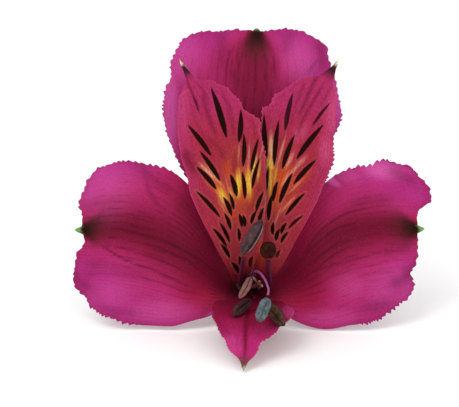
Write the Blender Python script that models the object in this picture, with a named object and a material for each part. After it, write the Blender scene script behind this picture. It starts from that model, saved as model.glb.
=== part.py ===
"""One alstroemeria bloom on its short stalk, laid on a surface with its face turned forward and up."""
import bpy
import numpy as np

# Lengths are in millimetres until the meshes are made. In the face frame x is to the right, y is
# back from the viewer towards the stalk, z is up the face, and the throat is at the origin.
MM = 0.001
LEAN_BACK = 14.0
THROAT_AT = (-0.2, -26.0, 8.0)

CLAW_START = (0.0, 24.0, 2.0)
OUTER_RING = 2.96
INNER_RING = 2.0
TEPAL_THICK = 0.6
TEPAL_ROWS = 44
TEPAL_COLUMNS = 8
TOOTH_DEPTH = 0.32

FILAMENT_RING = 1.05
FILAMENT_RADIUS = 0.3
STYLE_RADIUS = 0.32
OVARY_RADIUS = 2.5
OVARY_RIB = 0.07
STALK_RADIUS = 1.2
STALK_AXIS_HEIGHT = 0.98


def clear_scene():
    for thing in list(bpy.data.objects):
        bpy.data.objects.remove(thing, do_unlink=True)


def place(points):
    """Face frame to the lying bloom's own frame."""
    lean = np.radians(LEAN_BACK)
    x, y, z = np.moveaxis(np.asarray(points, float), -1, 0)
    along = y * np.cos(lean) + z * np.sin(lean)
    up = z * np.cos(lean) - y * np.sin(lean)
    return np.stack([x, along, up], -1) + np.array(THROAT_AT)


def smooth(knots, values, at):
    """Cubic curve through the values at the knots, carried straight on past both ends."""
    knots = np.asarray(knots, float)
    values = np.asarray(values, float)
    single = values.ndim == 1
    if single:
        values = values[:, None]
    step = np.diff(knots)
    slope = np.diff(values, axis=0) / step[:, None]
    share = step[:-1] / (step[:-1] + step[1:])
    turn = np.empty_like(values)
    turn[0] = slope[0]
    turn[-1] = slope[-1]
    turn[1:-1] = slope[:-1] * (1 - share)[:, None] + slope[1:] * share[:, None]
    at = np.asarray(at, float)
    flat = at.ravel()
    i = np.clip(np.searchsorted(knots, flat, side="right") - 1, 0, len(knots) - 2)
    part = (flat - knots[i]) / step[i]
    t = np.clip(part, 0, 1)
    result = (2 * t**3 - 3 * t**2 + 1)[:, None] * values[i]
    result += ((t**3 - 2 * t**2 + t) * step[i])[:, None] * turn[i]
    result += (3 * t**2 - 2 * t**3)[:, None] * values[i + 1]
    result += ((t**3 - t**2) * step[i])[:, None] * turn[i + 1]
    past = ((part - t) * step[i])[:, None]
    result += past * np.where((part > 1)[:, None], turn[i + 1], turn[i])
    result = result.reshape(*at.shape, values.shape[1])
    return result[..., 0] if single else result


def measured_path(points):
    """Arc length at each point of a smooth path, and the path's whole length."""
    points = np.asarray(points, float)
    chord = np.concatenate([[0], np.cumsum(np.linalg.norm(np.diff(points, axis=0), axis=1))])
    fine = np.linspace(0, chord[-1], 200)
    line = smooth(chord, points, fine)
    arc = np.concatenate([[0], np.cumsum(np.linalg.norm(np.diff(line, axis=0), axis=1))])
    return np.interp(chord, fine, arc), arc[-1]


def unit(vectors):
    return vectors / np.linalg.norm(vectors, axis=-1, keepdims=True)


def ring_point(azimuth, radius):
    angle = np.radians(azimuth)
    return (radius * np.cos(angle), CLAW_START[1], CLAW_START[2] + radius * np.sin(angle))


def inward(azimuth):
    angle = np.radians(azimuth)
    return (-np.cos(angle), 0.0, -np.sin(angle))


WIDTH_AT = (0, 0.1, 0.2, 0.3, 0.4, 0.5, 0.6, 0.7, 0.8, 0.9, 1.0)
REACH_AT = (-1, -0.75, -0.5, -0.25, 0, 0.25, 0.5, 0.75, 1)
CUP_AT = (0, 0.25, 0.5, 0.75, 1.0)

# A tepal is a flat fan bent onto its midrib. The path and its facing directions run from the claw
# to the tip. The two rows of half widths are the low side and the high side of the midrib, reach
# is how far each vein runs as a share of the midrib, and cup is each margin's rise in degrees.
TEPALS = {
    "tepal_outer_top": dict(
        path=[ring_point(90, OUTER_RING), (0.3, 15, 6.6), (0.6, 10.5, 15), (0.8, 8.5, 28),
              (1.2, 9, 42), (1.5, 12, 53.1)],
        facing=[inward(90), (0, -0.6, -0.8), (0, -1, -0.2), (0, -1, 0), (0, -1, 0.1), (0, -1, 0.3)],
        low=(1.3, 1.5, 2.8, 6.0, 9.8, 13.6, 16.3, 17.8, 18.0, 17.2, 15.0),
        high=(1.3, 1.5, 2.8, 6.0, 9.8, 12.9, 15.2, 16.6, 16.8, 15.7, 12.9),
        reach=(0.955, 0.995, 1.0, 0.995, 0.985, 0.995, 1.0, 0.985, 0.93),
        cup_low=(28, 16, 2, -2, 0), cup_high=(28, 16, 2, -2, 0),
        fan=0.0, heading=(0, 0, 1), toothed=(0.42, 1.0), scallop=0.25),
    "tepal_outer_left": dict(
        path=[ring_point(210, OUTER_RING), (-4.6, 10.5, 0.9), (-9.0, 5.2, 5.6), (-13.7, 3.4, 9.1),
              (-18.9, 3, 11.5), (-24.2, 4, 12.9), (-34.2, 8, 12.6)],
        facing=[inward(210), (0.6, -0.8, 0.2), (0.2, -1, 0), (0, -1, 0), (0, -1, 0), (0, -1, 0),
                (-0.2, -1, 0)],
        low=(1.3, 1.4, 2.0, 4.8, 9.6, 13.2, 15.5, 16.8, 17.6, 17.6, 16.6),
        high=(1.3, 1.4, 1.5, 2.2, 4.4, 8.2, 11.2, 12.6, 13.4, 14.2, 13.0),
        reach=(0.875, 0.95, 0.975, 0.985, 0.985, 1.0, 1.04, 1.04, 0.99),
        cup_low=(28, 12, -8, -10, -10), cup_high=(28, 10, -5, -5, -5),
        fan=0.75, heading=(-0.93, 0, 0.36), toothed=(0.45, 1.0), scallop=0.3),
    "tepal_outer_right": dict(
        path=[ring_point(330, OUTER_RING), (5.1, 10.5, 0.9), (9.8, 5.2, 5.0), (13.2, 3.4, 8.6),
              (17.2, 3, 11.5), (23.7, 4, 13.3), (34.0, 8, 12.8)],
        facing=[inward(330), (-0.6, -0.8, 0.2), (-0.2, -1, 0), (0, -1, 0), (0, -1, 0), (0, -1, 0),
                (0.2, -1, 0)],
        low=(1.3, 1.4, 1.5, 2.3, 4.5, 7.4, 9.4, 10.8, 12.4, 14.0, 13.6),
        high=(1.3, 1.4, 2.0, 4.6, 8.8, 12.5, 15.2, 16.8, 17.7, 17.8, 16.4),
        reach=(1.03, 1.085, 1.07, 1.01, 0.985, 0.965, 0.935, 0.915, 0.85),
        cup_low=(28, 10, -5, -5, -5), cup_high=(28, 12, -6, -7, -8),
        fan=0.75, heading=(0.93, 0, 0.36), toothed=(0.45, 1.0), scallop=0.3),
    "tepal_inner_left": dict(
        path=[ring_point(140, INNER_RING), (-1.7, 12, 3.5), (-1.9, 4.6, 6.8), (-2.7, 0.5, 13.7),
              (-5.3, -1.6, 26.4), (-8.8, -0.6, 37.2), (-13.9, 2, 46.3)],
        facing=[inward(140), (0.2, -0.8, -0.5), (0, -1, -0.3), (-0.1, -1, 0), (-0.12, -1, 0),
                (-0.1, -1, 0), (0, -1, 0)],
        low=(1.1, 1.1, 1.5, 2.7, 4.7, 6.6, 7.8, 7.9, 7.0, 4.6, 0.6),
        high=(1.1, 1.1, 1.5, 2.7, 4.8, 6.2, 7.6, 8.6, 8.0, 4.4, 0.6),
        reach=(0.97, 0.97, 0.98, 0.99, 1.0, 0.99, 0.98, 0.97, 0.97),
        cup_low=(28, 22, 12, 5, 5), cup_high=(28, 22, 12, 5, 5),
        fan=0.0, heading=(0, 0, 1), toothed=(0.4, 0.9), scallop=0.0),
    "tepal_inner_right": dict(
        path=[ring_point(40, INNER_RING), (2.1, 12, 3.5), (3.3, 5.5, 6.5), (5.0, 1.8, 13.7),
              (8.8, -0.4, 26.4), (12.4, 0.4, 37.2), (17.5, 2, 46.3)],
        facing=[inward(40), (-0.2, -0.8, -0.5), (-0.2, -1, -0.3), (-0.1, -1, 0), (-0.12, -1, 0),
                (-0.1, -1, 0), (0, -1, 0)],
        low=(1.1, 1.1, 1.5, 2.2, 3.6, 5.4, 7.0, 8.4, 8.0, 5.2, 0.6),
        high=(1.1, 1.1, 1.5, 2.8, 4.4, 5.8, 6.8, 6.6, 5.8, 3.8, 0.6),
        reach=(0.97, 0.97, 0.98, 0.99, 1.0, 0.99, 0.98, 0.97, 0.97),
        cup_low=(28, 22, 12, 5, 5), cup_high=(28, 22, 12, 5, 5),
        fan=0.0, heading=(0, 0, 1), toothed=(0.4, 0.9), scallop=0.0),
    "tepal_inner_lower": dict(
        path=[ring_point(270, INNER_RING), (-0.1, 14, -0.7), (0, 4, -2.2), (-0.4, -5, -3.1),
              (-0.9, -12.6, -5.6), (-1.1, -17.6, -9.1), (-1.4, -21.3, -12.9)],
        facing=[inward(270), (0, -0.1, 1), (0, -0.2, 1), (0, -0.5, 1), (0, -0.8, 0.6), (0, -1, 0.5),
                (0, -1, 0.6)],
        low=(1.1, 1.1, 1.4, 2.4, 4.6, 7.7, 8.7, 8.4, 6.4, 3.4, 0.5),
        high=(1.1, 1.1, 1.4, 2.4, 4.6, 7.5, 8.3, 7.4, 5.6, 3.2, 0.5),
        reach=(0.97, 0.97, 0.98, 0.99, 1.0, 0.99, 0.98, 0.97, 0.97),
        cup_low=(28, 25, 20, 6, 5), cup_high=(28, 25, 20, 6, 5),
        fan=0.0, heading=(0, -1, 0), toothed=(0.35, 0.9), scallop=0.0),
}

# Each filament runs from the ring in the throat to just short of its anther. The last numbers are
# the anther's half width, its half depth and its bluntness at the ends.
STAMENS = [
    dict(ring=150, filament=[(-1.1, 12, 2.0), (-1.9, 4, 2.4), (-2.3, -1, 2.8), (-2.2, -6, 5.1),
                             (-1.9, -9, 7.2)],
         anther=[(-1.7, -9.4, 8.1), (0.3, -9.8, 11.3), (2.2, -9.2, 14.7)], size=(1.35, 1.0, 0.6)),
    dict(ring=30, filament=[(1.4, 12, 2.0), (3.0, 4, 2.2), (4.0, -2, 2.4), (3.8, -6, 4.6),
                            (3.5, -8, 6.6)],
         anther=[(3.4, -8.0, 9.0), (3.4, -10.0, 9.0), (3.4, -12.0, 8.8)], size=(1.9, 1.9, 0.8)),
    dict(ring=210, filament=[(-1.1, 12, 0.8), (-1.0, 4, 1.3), (-0.9, -2, 3.0), (-0.2, -4.2, 4.2)],
         anther=[(0.1, -5.3, 4.1), (-0.9, -8.2, 1.7), (-2.3, -9.9, -0.4)], size=(1.0, 0.8, 0.7)),
    dict(ring=270, filament=[(0.2, 12, 0.3), (0.9, 4, -0.3), (1.2, 0, -0.4), (0.8, -2.4, -0.4)],
         anther=[(0.2, -3.7, -0.3), (-1.6, -6.8, -1.5), (-3.3, -10.6, -3.1)], size=(1.1, 0.9, 0.7)),
    dict(ring=90, filament=[(0.2, 12, 2.7), (0.8, 4, 3.6), (1.1, -3, 4.7), (2.3, -9.6, 4.1),
                            (3.1, -13, 2.6), (3.4, -14.4, 1.3), (3.2, -15.0, 0.6)],
         anther=[(3.2, -15.6, -0.1), (2.3, -16.6, -2.2), (1.5, -17.2, -4.2)], size=(1.15, 0.9, 0.8)),
    dict(ring=330, filament=[(1.3, 12, 0.8), (2.4, 4, -0.3), (3.1, -2, -0.8), (3.3, -6.0, -1.4)],
         anther=[(3.5, -7.4, -1.8), (5.1, -11.8, -3.2), (6.8, -15.4, -5.0)], size=(1.1, 0.9, 0.6)),
]

STYLE_PATH = [CLAW_START, (0.2, 12, 1.5), (0.7, 4, 1.5), (1.3, -2, 2.1), (1.7, -5.8, 2.6)]

# The ovary and stalk run level with the surface: to the right and back from below the throat, and
# up from the surface, from the ovary's top under the claws to the cut end.
STALK_PATH = [(0, 24.15, 4.1), (0, 26.1, 3.6), (0, 28.1, 3.08), (0.02, 30.3, 2.48), (0.1, 32.9, 1.75),
              (0.35, 36, 1.15), (1.15, 42.5, STALK_AXIS_HEIGHT), (3.35, 53.5, STALK_AXIS_HEIGHT),
              (6.95, 66.5, STALK_AXIS_HEIGHT), (9.95, 75.5, STALK_AXIS_HEIGHT)]
STALK_RADII = [0.93 * OVARY_RADIUS, OVARY_RADIUS, 0.98 * OVARY_RADIUS, 0.84 * OVARY_RADIUS,
               0.56 * OVARY_RADIUS, 1.02 * STALK_RADIUS, STALK_RADIUS, STALK_RADIUS, STALK_RADIUS,
               1.04 * STALK_RADIUS]


def tooth(rows):
    """Alternate rows of a margin stand out and in by the tooth depth."""
    return TOOTH_DEPTH * (-1.0) ** rows


def tepal_surface(tepal, u, v, rows):
    """Points of the tepal's middle surface: u runs along the veins, v from margin to margin."""
    knots, length = measured_path(tepal["path"])
    s = u * smooth(REACH_AT, tepal["reach"], v) * length
    low = smooth(WIDTH_AT, tepal["low"], u)
    high = smooth(WIDTH_AT, tepal["high"], u)
    start, end = tepal["toothed"]
    edge = (np.abs(v) > 0.999) * (u > start) * (u < end)
    across = v * np.where(v < 0, low, high) + np.sign(v) * tooth(rows) * edge
    s = s + tepal["scallop"] * np.cos(7 * np.pi * v) * (u > 0.999)

    centre = smooth(knots, tepal["path"], s)
    forward = unit(smooth(knots, tepal["path"], s + 0.2) - smooth(knots, tepal["path"], s - 0.2))
    face = smooth(knots, tepal["facing"], np.clip(s, 0, length))
    # Rows lean from square across the midrib towards square across the whole tepal, so that the
    # margin inside a bent midrib isn't crowded.
    fan = tepal["fan"] * np.clip(u / 0.35, 0, 1)[..., None]
    spread = forward * (1 - fan) + np.array(tepal["heading"]) * fan
    side = unit(np.cross(spread, face))
    face = unit(np.cross(side, spread))

    cup_low = smooth(CUP_AT, tepal["cup_low"], u)
    cup_high = smooth(CUP_AT, tepal["cup_high"], u)
    bend = np.radians(np.where(v < 0, cup_low, cup_high)) * np.abs(v)
    bend = np.where(np.abs(bend) < 1e-4, 1e-4, bend)
    reach = np.abs(across) * np.sin(bend) / bend
    rise = np.abs(across) * (1 - np.cos(bend)) / bend
    return centre + side * (np.sign(across) * reach)[..., None] + face * rise[..., None]


def slab(middle, thickness):
    """Closed blade round a grid of points: the same triangles in front and behind, and a rim."""
    along = np.gradient(middle, axis=0)
    across = np.gradient(middle, axis=1)
    normal = unit(np.cross(across, along))
    front = middle + normal * thickness / 2
    back = middle - normal * thickness / 2
    rows, columns = middle.shape[:2]
    index = np.arange(rows * columns).reshape(rows, columns)
    a, b = index[:-1, :-1].ravel(), index[1:, :-1].ravel()
    c, d = index[1:, 1:].ravel(), index[:-1, 1:].ravel()
    face = np.concatenate([np.stack([a, c, b], 1), np.stack([a, d, c], 1)])
    behind = face[:, ::-1] + rows * columns
    rim = np.concatenate([index[0, :-1], index[:-1, -1], index[-1, :0:-1], index[:0:-1, 0]])
    ahead = np.roll(rim, -1)
    shift = rows * columns
    wall = np.concatenate([np.stack([rim, rim + shift, ahead + shift], 1),
                           np.stack([rim, ahead + shift, ahead], 1)])
    points = np.concatenate([front.reshape(-1, 3), back.reshape(-1, 3)])
    return points, np.concatenate([face, behind, wall])


def tube(path, radii, sides, squash=1.0, ribs=0, rib_depth=None, rings=24, up=(0.0, 0.0, 1.0)):
    """Closed rod round a smooth path, its radius smoothly varied, its section ribbed or squashed."""
    knots, length = measured_path(path)
    s = np.linspace(0, length, rings)
    centre = smooth(knots, path, s)
    forward = unit(smooth(knots, path, s + 0.05) - smooth(knots, path, s - 0.05))
    side = unit(np.cross(np.broadcast_to(up, forward.shape), forward))
    top = np.cross(forward, side)
    radius = smooth(np.linspace(0, length, len(radii)), radii, s)
    angle = np.arange(sides) * 2 * np.pi / sides
    depth = np.zeros(rings)
    if rib_depth is not None:
        depth = smooth(np.linspace(0, length, len(rib_depth)), rib_depth, s)
    ripple = 1 + depth[:, None] * np.cos(ribs * angle)[None, :]
    around = radius[:, None] * ripple
    points = centre[:, None] + side[:, None] * (around * np.cos(angle))[..., None]
    points = points + top[:, None] * (around * np.sin(angle) * squash)[..., None]
    ends = np.stack([centre[0], centre[-1]])
    index = np.arange(rings * sides).reshape(rings, sides)
    ahead = np.roll(index, -1, axis=1)
    a, b = index[:-1].ravel(), ahead[:-1].ravel()
    c, d = ahead[1:].ravel(), index[1:].ravel()
    wall = np.concatenate([np.stack([a, b, c], 1), np.stack([a, c, d], 1)])
    start, end = rings * sides, rings * sides + 1
    caps = [np.stack([np.full(sides, start), ahead[0], index[0]], 1),
            np.stack([np.full(sides, end), index[-1], ahead[-1]], 1)]
    return np.concatenate([points.reshape(-1, 3), ends]), np.concatenate([wall] + caps)


def add_node(name, points, triangles, colour, roughness):
    """One closed solid with its own material."""
    mesh = bpy.data.meshes.new(name)
    mesh.from_pydata((np.asarray(points) * MM).tolist(), [], triangles.tolist())
    mesh.update()
    material = bpy.data.materials.new(name)
    material.use_nodes = True
    shader = material.node_tree.nodes["Principled BSDF"]
    shader.inputs["Base Color"].default_value = (*colour, 1.0)
    shader.inputs["Roughness"].default_value = roughness
    mesh.materials.append(material)
    node = bpy.data.objects.new(name, mesh)
    bpy.context.scene.collection.objects.link(node)
    return node


def build_tepals():
    colours = {"outer": (0.52, 0.06, 0.26), "inner": (0.45, 0.05, 0.10)}
    u = np.linspace(0, 1, TEPAL_ROWS + 1)
    v = np.linspace(-1, 1, TEPAL_COLUMNS + 1)
    grid_u, grid_v = np.meshgrid(u, v, indexing="ij")
    rows = np.broadcast_to(np.arange(TEPAL_ROWS + 1)[:, None], grid_u.shape)
    for name, tepal in TEPALS.items():
        middle = tepal_surface(tepal, grid_u, grid_v, rows)
        points, triangles = slab(middle, TEPAL_THICK)
        add_node(name, place(points), triangles, colours[name.split("_")[1]], 0.55)


def build_stamens():
    for number, stamen in enumerate(STAMENS, 1):
        start = ring_point(stamen["ring"], FILAMENT_RING)
        path = [start] + stamen["filament"]
        points, triangles = tube(path, [FILAMENT_RADIUS] * 5, 8, rings=24, up=(0.35, 0.2, 0.9))
        add_node(f"filament_{number}", place(points), triangles, (0.22, 0.03, 0.12), 0.5)
        width, depth, blunt = stamen["size"]
        radii = [width * share for share in (0.35 * blunt, 0.8, 0.97, 1.0, 0.97, 0.8, 0.35 * blunt)]
        up = (0.05, 1.0, 0.0) if number != 2 else (0.0, 0.0, 1.0)
        points, triangles = tube(stamen["anther"], radii, 12, squash=depth / width, rings=13, up=up)
        add_node(f"anther_{number}", place(points), triangles, (0.08, 0.06, 0.06), 0.8)


def build_style():
    radii = [STYLE_RADIUS * share for share in (1, 1, 1, 1, 1, 1.1, 1.5, 2.2)]
    points, triangles = tube(STYLE_PATH, radii, 12, ribs=3, rib_depth=(0, 0, 0, 0, 0, 0.1, 0.25, 0.4),
                             rings=22, up=(0.35, 0.2, 0.9))
    add_node("style", place(points), triangles, (0.45, 0.12, 0.16), 0.5)


def build_stalk():
    ribs = (OVARY_RIB, OVARY_RIB, OVARY_RIB, OVARY_RIB, 0.02, 0, 0, 0, 0, 0, 0, 0, 0)
    points, triangles = tube(STALK_PATH, STALK_RADII, 24, ribs=6, rib_depth=ribs, rings=60)
    points[:, :2] += THROAT_AT[:2]
    # A narrow flat runs along the side that the stalk lies on.
    points[:, 2] = np.maximum(points[:, 2], 0.0)
    add_node("stalk", points, triangles, (0.12, 0.20, 0.06), 0.6)


clear_scene()
build_tepals()
build_stamens()
build_style()
build_stalk()
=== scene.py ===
import bpy
import numpy as np
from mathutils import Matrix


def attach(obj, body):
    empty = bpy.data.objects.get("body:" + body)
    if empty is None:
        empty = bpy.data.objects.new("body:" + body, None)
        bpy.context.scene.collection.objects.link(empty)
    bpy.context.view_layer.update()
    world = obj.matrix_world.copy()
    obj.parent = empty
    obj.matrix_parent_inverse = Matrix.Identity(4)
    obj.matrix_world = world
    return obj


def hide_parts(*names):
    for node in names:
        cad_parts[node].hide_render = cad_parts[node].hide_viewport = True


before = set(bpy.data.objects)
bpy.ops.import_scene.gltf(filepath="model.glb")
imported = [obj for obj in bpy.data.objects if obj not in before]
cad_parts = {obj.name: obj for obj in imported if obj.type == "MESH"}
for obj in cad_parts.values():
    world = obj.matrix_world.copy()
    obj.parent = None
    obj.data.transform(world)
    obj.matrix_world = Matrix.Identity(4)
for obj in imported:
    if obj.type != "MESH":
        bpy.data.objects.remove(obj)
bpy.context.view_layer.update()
print("frame loaded:", len(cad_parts), "nodes")

metresPerMm = 0.001

# Lengths below are in millimetres. In the face frame x is to the right, y is back towards the
# stalk, z is up the face and the throat is at the origin. The bloom leans back as it lies.
bloom = {
    "leanBack": 14.0,
    "throatAt": (-0.2, -26.0, 8.0),
    "clawStart": (0.0, 24.0, 2.0),
    "outerRing": 2.96,
    "innerRing": 2.0,
    "filamentRing": 1.05,
}


def placeBloom(points):
    # face frame to the lying frame: a turn about x by the lean, then a shift to the throat
    lean = np.radians(bloom["leanBack"])
    x, y, z = np.moveaxis(np.asarray(points, float), -1, 0)
    along = y * np.cos(lean) + z * np.sin(lean)
    up = z * np.cos(lean) - y * np.sin(lean)
    return np.stack([x, along, up], -1) + np.array(bloom["throatAt"])


def smoothCurve(knots, values, at):
    # cubic through the values at the knots, with slopes weighted from both sides of each knot,
    # and straight on past both ends
    knots = np.asarray(knots, float)
    values = np.asarray(values, float)
    single = values.ndim == 1
    if single:
        values = values[:, None]
    step = np.diff(knots)
    slope = np.diff(values, axis=0) / step[:, None]
    share = step[:-1] / (step[:-1] + step[1:])
    turn = np.empty_like(values)
    turn[0] = slope[0]
    turn[-1] = slope[-1]
    turn[1:-1] = slope[:-1] * (1 - share)[:, None] + slope[1:] * share[:, None]
    at = np.asarray(at, float)
    flat = at.ravel()
    i = np.clip(np.searchsorted(knots, flat, side="right") - 1, 0, len(knots) - 2)
    part = (flat - knots[i]) / step[i]
    t = np.clip(part, 0, 1)
    result = (2 * t**3 - 3 * t**2 + 1)[:, None] * values[i]
    result += ((t**3 - 2 * t**2 + t) * step[i])[:, None] * turn[i]
    result += (3 * t**2 - 2 * t**3)[:, None] * values[i + 1]
    result += ((t**3 - t**2) * step[i])[:, None] * turn[i + 1]
    past = ((part - t) * step[i])[:, None]
    result += past * np.where((part > 1)[:, None], turn[i + 1], turn[i])
    result = result.reshape(*at.shape, values.shape[1])
    return result[..., 0] if single else result


def measurePath(points):
    # arc length at each point of the smooth path, and its whole length
    points = np.asarray(points, float)
    chord = np.concatenate([[0], np.cumsum(np.linalg.norm(np.diff(points, axis=0), axis=1))])
    fine = np.linspace(0, chord[-1], 200)
    line = smoothCurve(chord, points, fine)
    arc = np.concatenate([[0], np.cumsum(np.linalg.norm(np.diff(line, axis=0), axis=1))])
    return np.interp(chord, fine, arc), arc[-1]


def unit(vectors):
    return vectors / np.linalg.norm(vectors, axis=-1, keepdims=True)


def ramp(value, low, high):
    # 0 below low, 1 above high, smooth between
    t = np.clip((value - low) / (high - low), 0, 1)
    return t * t * (3 - 2 * t)


def growing(value, amount, low, high):
    # 0 below low, the amount above high
    return amount * ramp(value, low, high)


def fading(value, amount, low, high):
    # the amount below low, 0 above high
    return amount * (1 - ramp(value, low, high))


def bell(value, wide, power=2):
    # exp(-|value / wide| ^ power): 1 at 0, fading past wide on both sides
    return np.exp(-np.abs(value / wide) ** power)


def ringPoint(azimuth, radius):
    # a place on a ring round the top of the ovary, by its angle from the right
    angle = np.radians(azimuth)
    start = bloom["clawStart"]
    return (radius * np.cos(angle), start[1], start[2] + radius * np.sin(angle))


def inward(azimuth):
    # the direction from such a place to the middle of the ring
    angle = np.radians(azimuth)
    return (-np.cos(angle), 0.0, -np.sin(angle))


def toLinear(hexColour):
    # sRGB hex to the linear colour that a shader takes
    value = np.array([int(hexColour[i:i + 2], 16) for i in (1, 3, 5)]) / 255
    linear = np.where(value <= 0.04045, value / 12.92, ((value + 0.055) / 1.055) ** 2.4)
    return (*linear.tolist(), 1.0)


# One node with its settings and links. An input is a value, a socket to link from, a hex colour or
# the name of a mask on the mesh. What comes back is the output that the next node reads. A Mix
# node's sockets are 0 for the factor, 6 and 7 for the two colours and 2 for the mixed one.
def addNode(tree, kind, output, inputs, **settings):
    node = tree.nodes.new("ShaderNode" + kind)
    for name, value in settings.items():
        setattr(node, name, value)
    for name, value in inputs.items():
        if isinstance(value, str) and value.startswith("#"):
            value = toLinear(value)
        elif isinstance(value, str):
            value = addNode(tree, "Attribute", "Fac", {}, attribute_name=value)
        if isinstance(value, bpy.types.NodeSocket):
            tree.links.new(value, node.inputs[name])
        else:
            node.inputs[name].default_value = value
    return node.outputs[output]


def objectMm(tree):
    # Object coordinates in millimetres
    coords = addNode(tree, "TexCoord", "Object", {})
    return addNode(tree, "VectorMath", 0, {0: coords, "Scale": 1 / metresPerMm}, operation="SCALE")


def newMaterial(name, skin):
    # skin holds the numbers that are the same all over the surface
    material = bpy.data.materials.new(name)
    material.use_nodes = True
    shader = material.node_tree.nodes["Principled BSDF"]
    for socket, value in skin.items():
        shader.inputs[socket].default_value = value
    return material, material.node_tree, shader


def dressShader(tree, shader, colour, relief, bump):
    # the last step of each tissue: its colour and its fine relief
    strength, distance = bump
    normal = addNode(tree, "Bump", "Normal",
                     {"Height": relief, "Strength": strength, "Distance": distance})
    tree.links.new(colour, shader.inputs["Base Color"])
    tree.links.new(normal, shader.inputs["Normal"])


# Petal tissue: soft water-filled cells under a thin waxy skin, so a satin surface, fine grain and
# parallel veins. Cells are about 0.05 mm across and are drawn at 0.25 mm so that they show, in
# short rows along the veins.
petalTissue = {
    "skin": {"IOR": 1.36, "Specular IOR Level": 0.05, "Subsurface Weight": 0.08,
             "Subsurface Radius": (1.0, 0.25, 0.35), "Subsurface Scale": 0.0005},
    # pitch in millimetres, detail and roughness of each noise; a look's own cloudMm comes first
    "noise": {"cloud": (5.0, 3.0, 0.5), "wander": (6.0, 2.0, 0.5), "patchy": (3.2, 3.0, 0.5),
              "sparse": (4.4, 2.0, 0.5), "glint": (0.34, 1.0, 0.5), "cells": (0.25, 2.0, 0.65)},
    "streakNoise": {"broken": (1.6, 2.0, 0.5), "ragged": (0.5, 2.0, 0.5)},
    "cellRows": (1.0, 0.4, 1.0),
    # how close, how wavy and how thin the lines are
    "veins": {"broad": (1.0, 1.0, 5.0), "fine": (2.7, 1.7, 2.0)},
    "raggedMm": 0.12, "backShare": 0.3, "roughSpread": 0.08, "veinDip": -0.8, "bump": (0.3, 0.00014),
}


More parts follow.
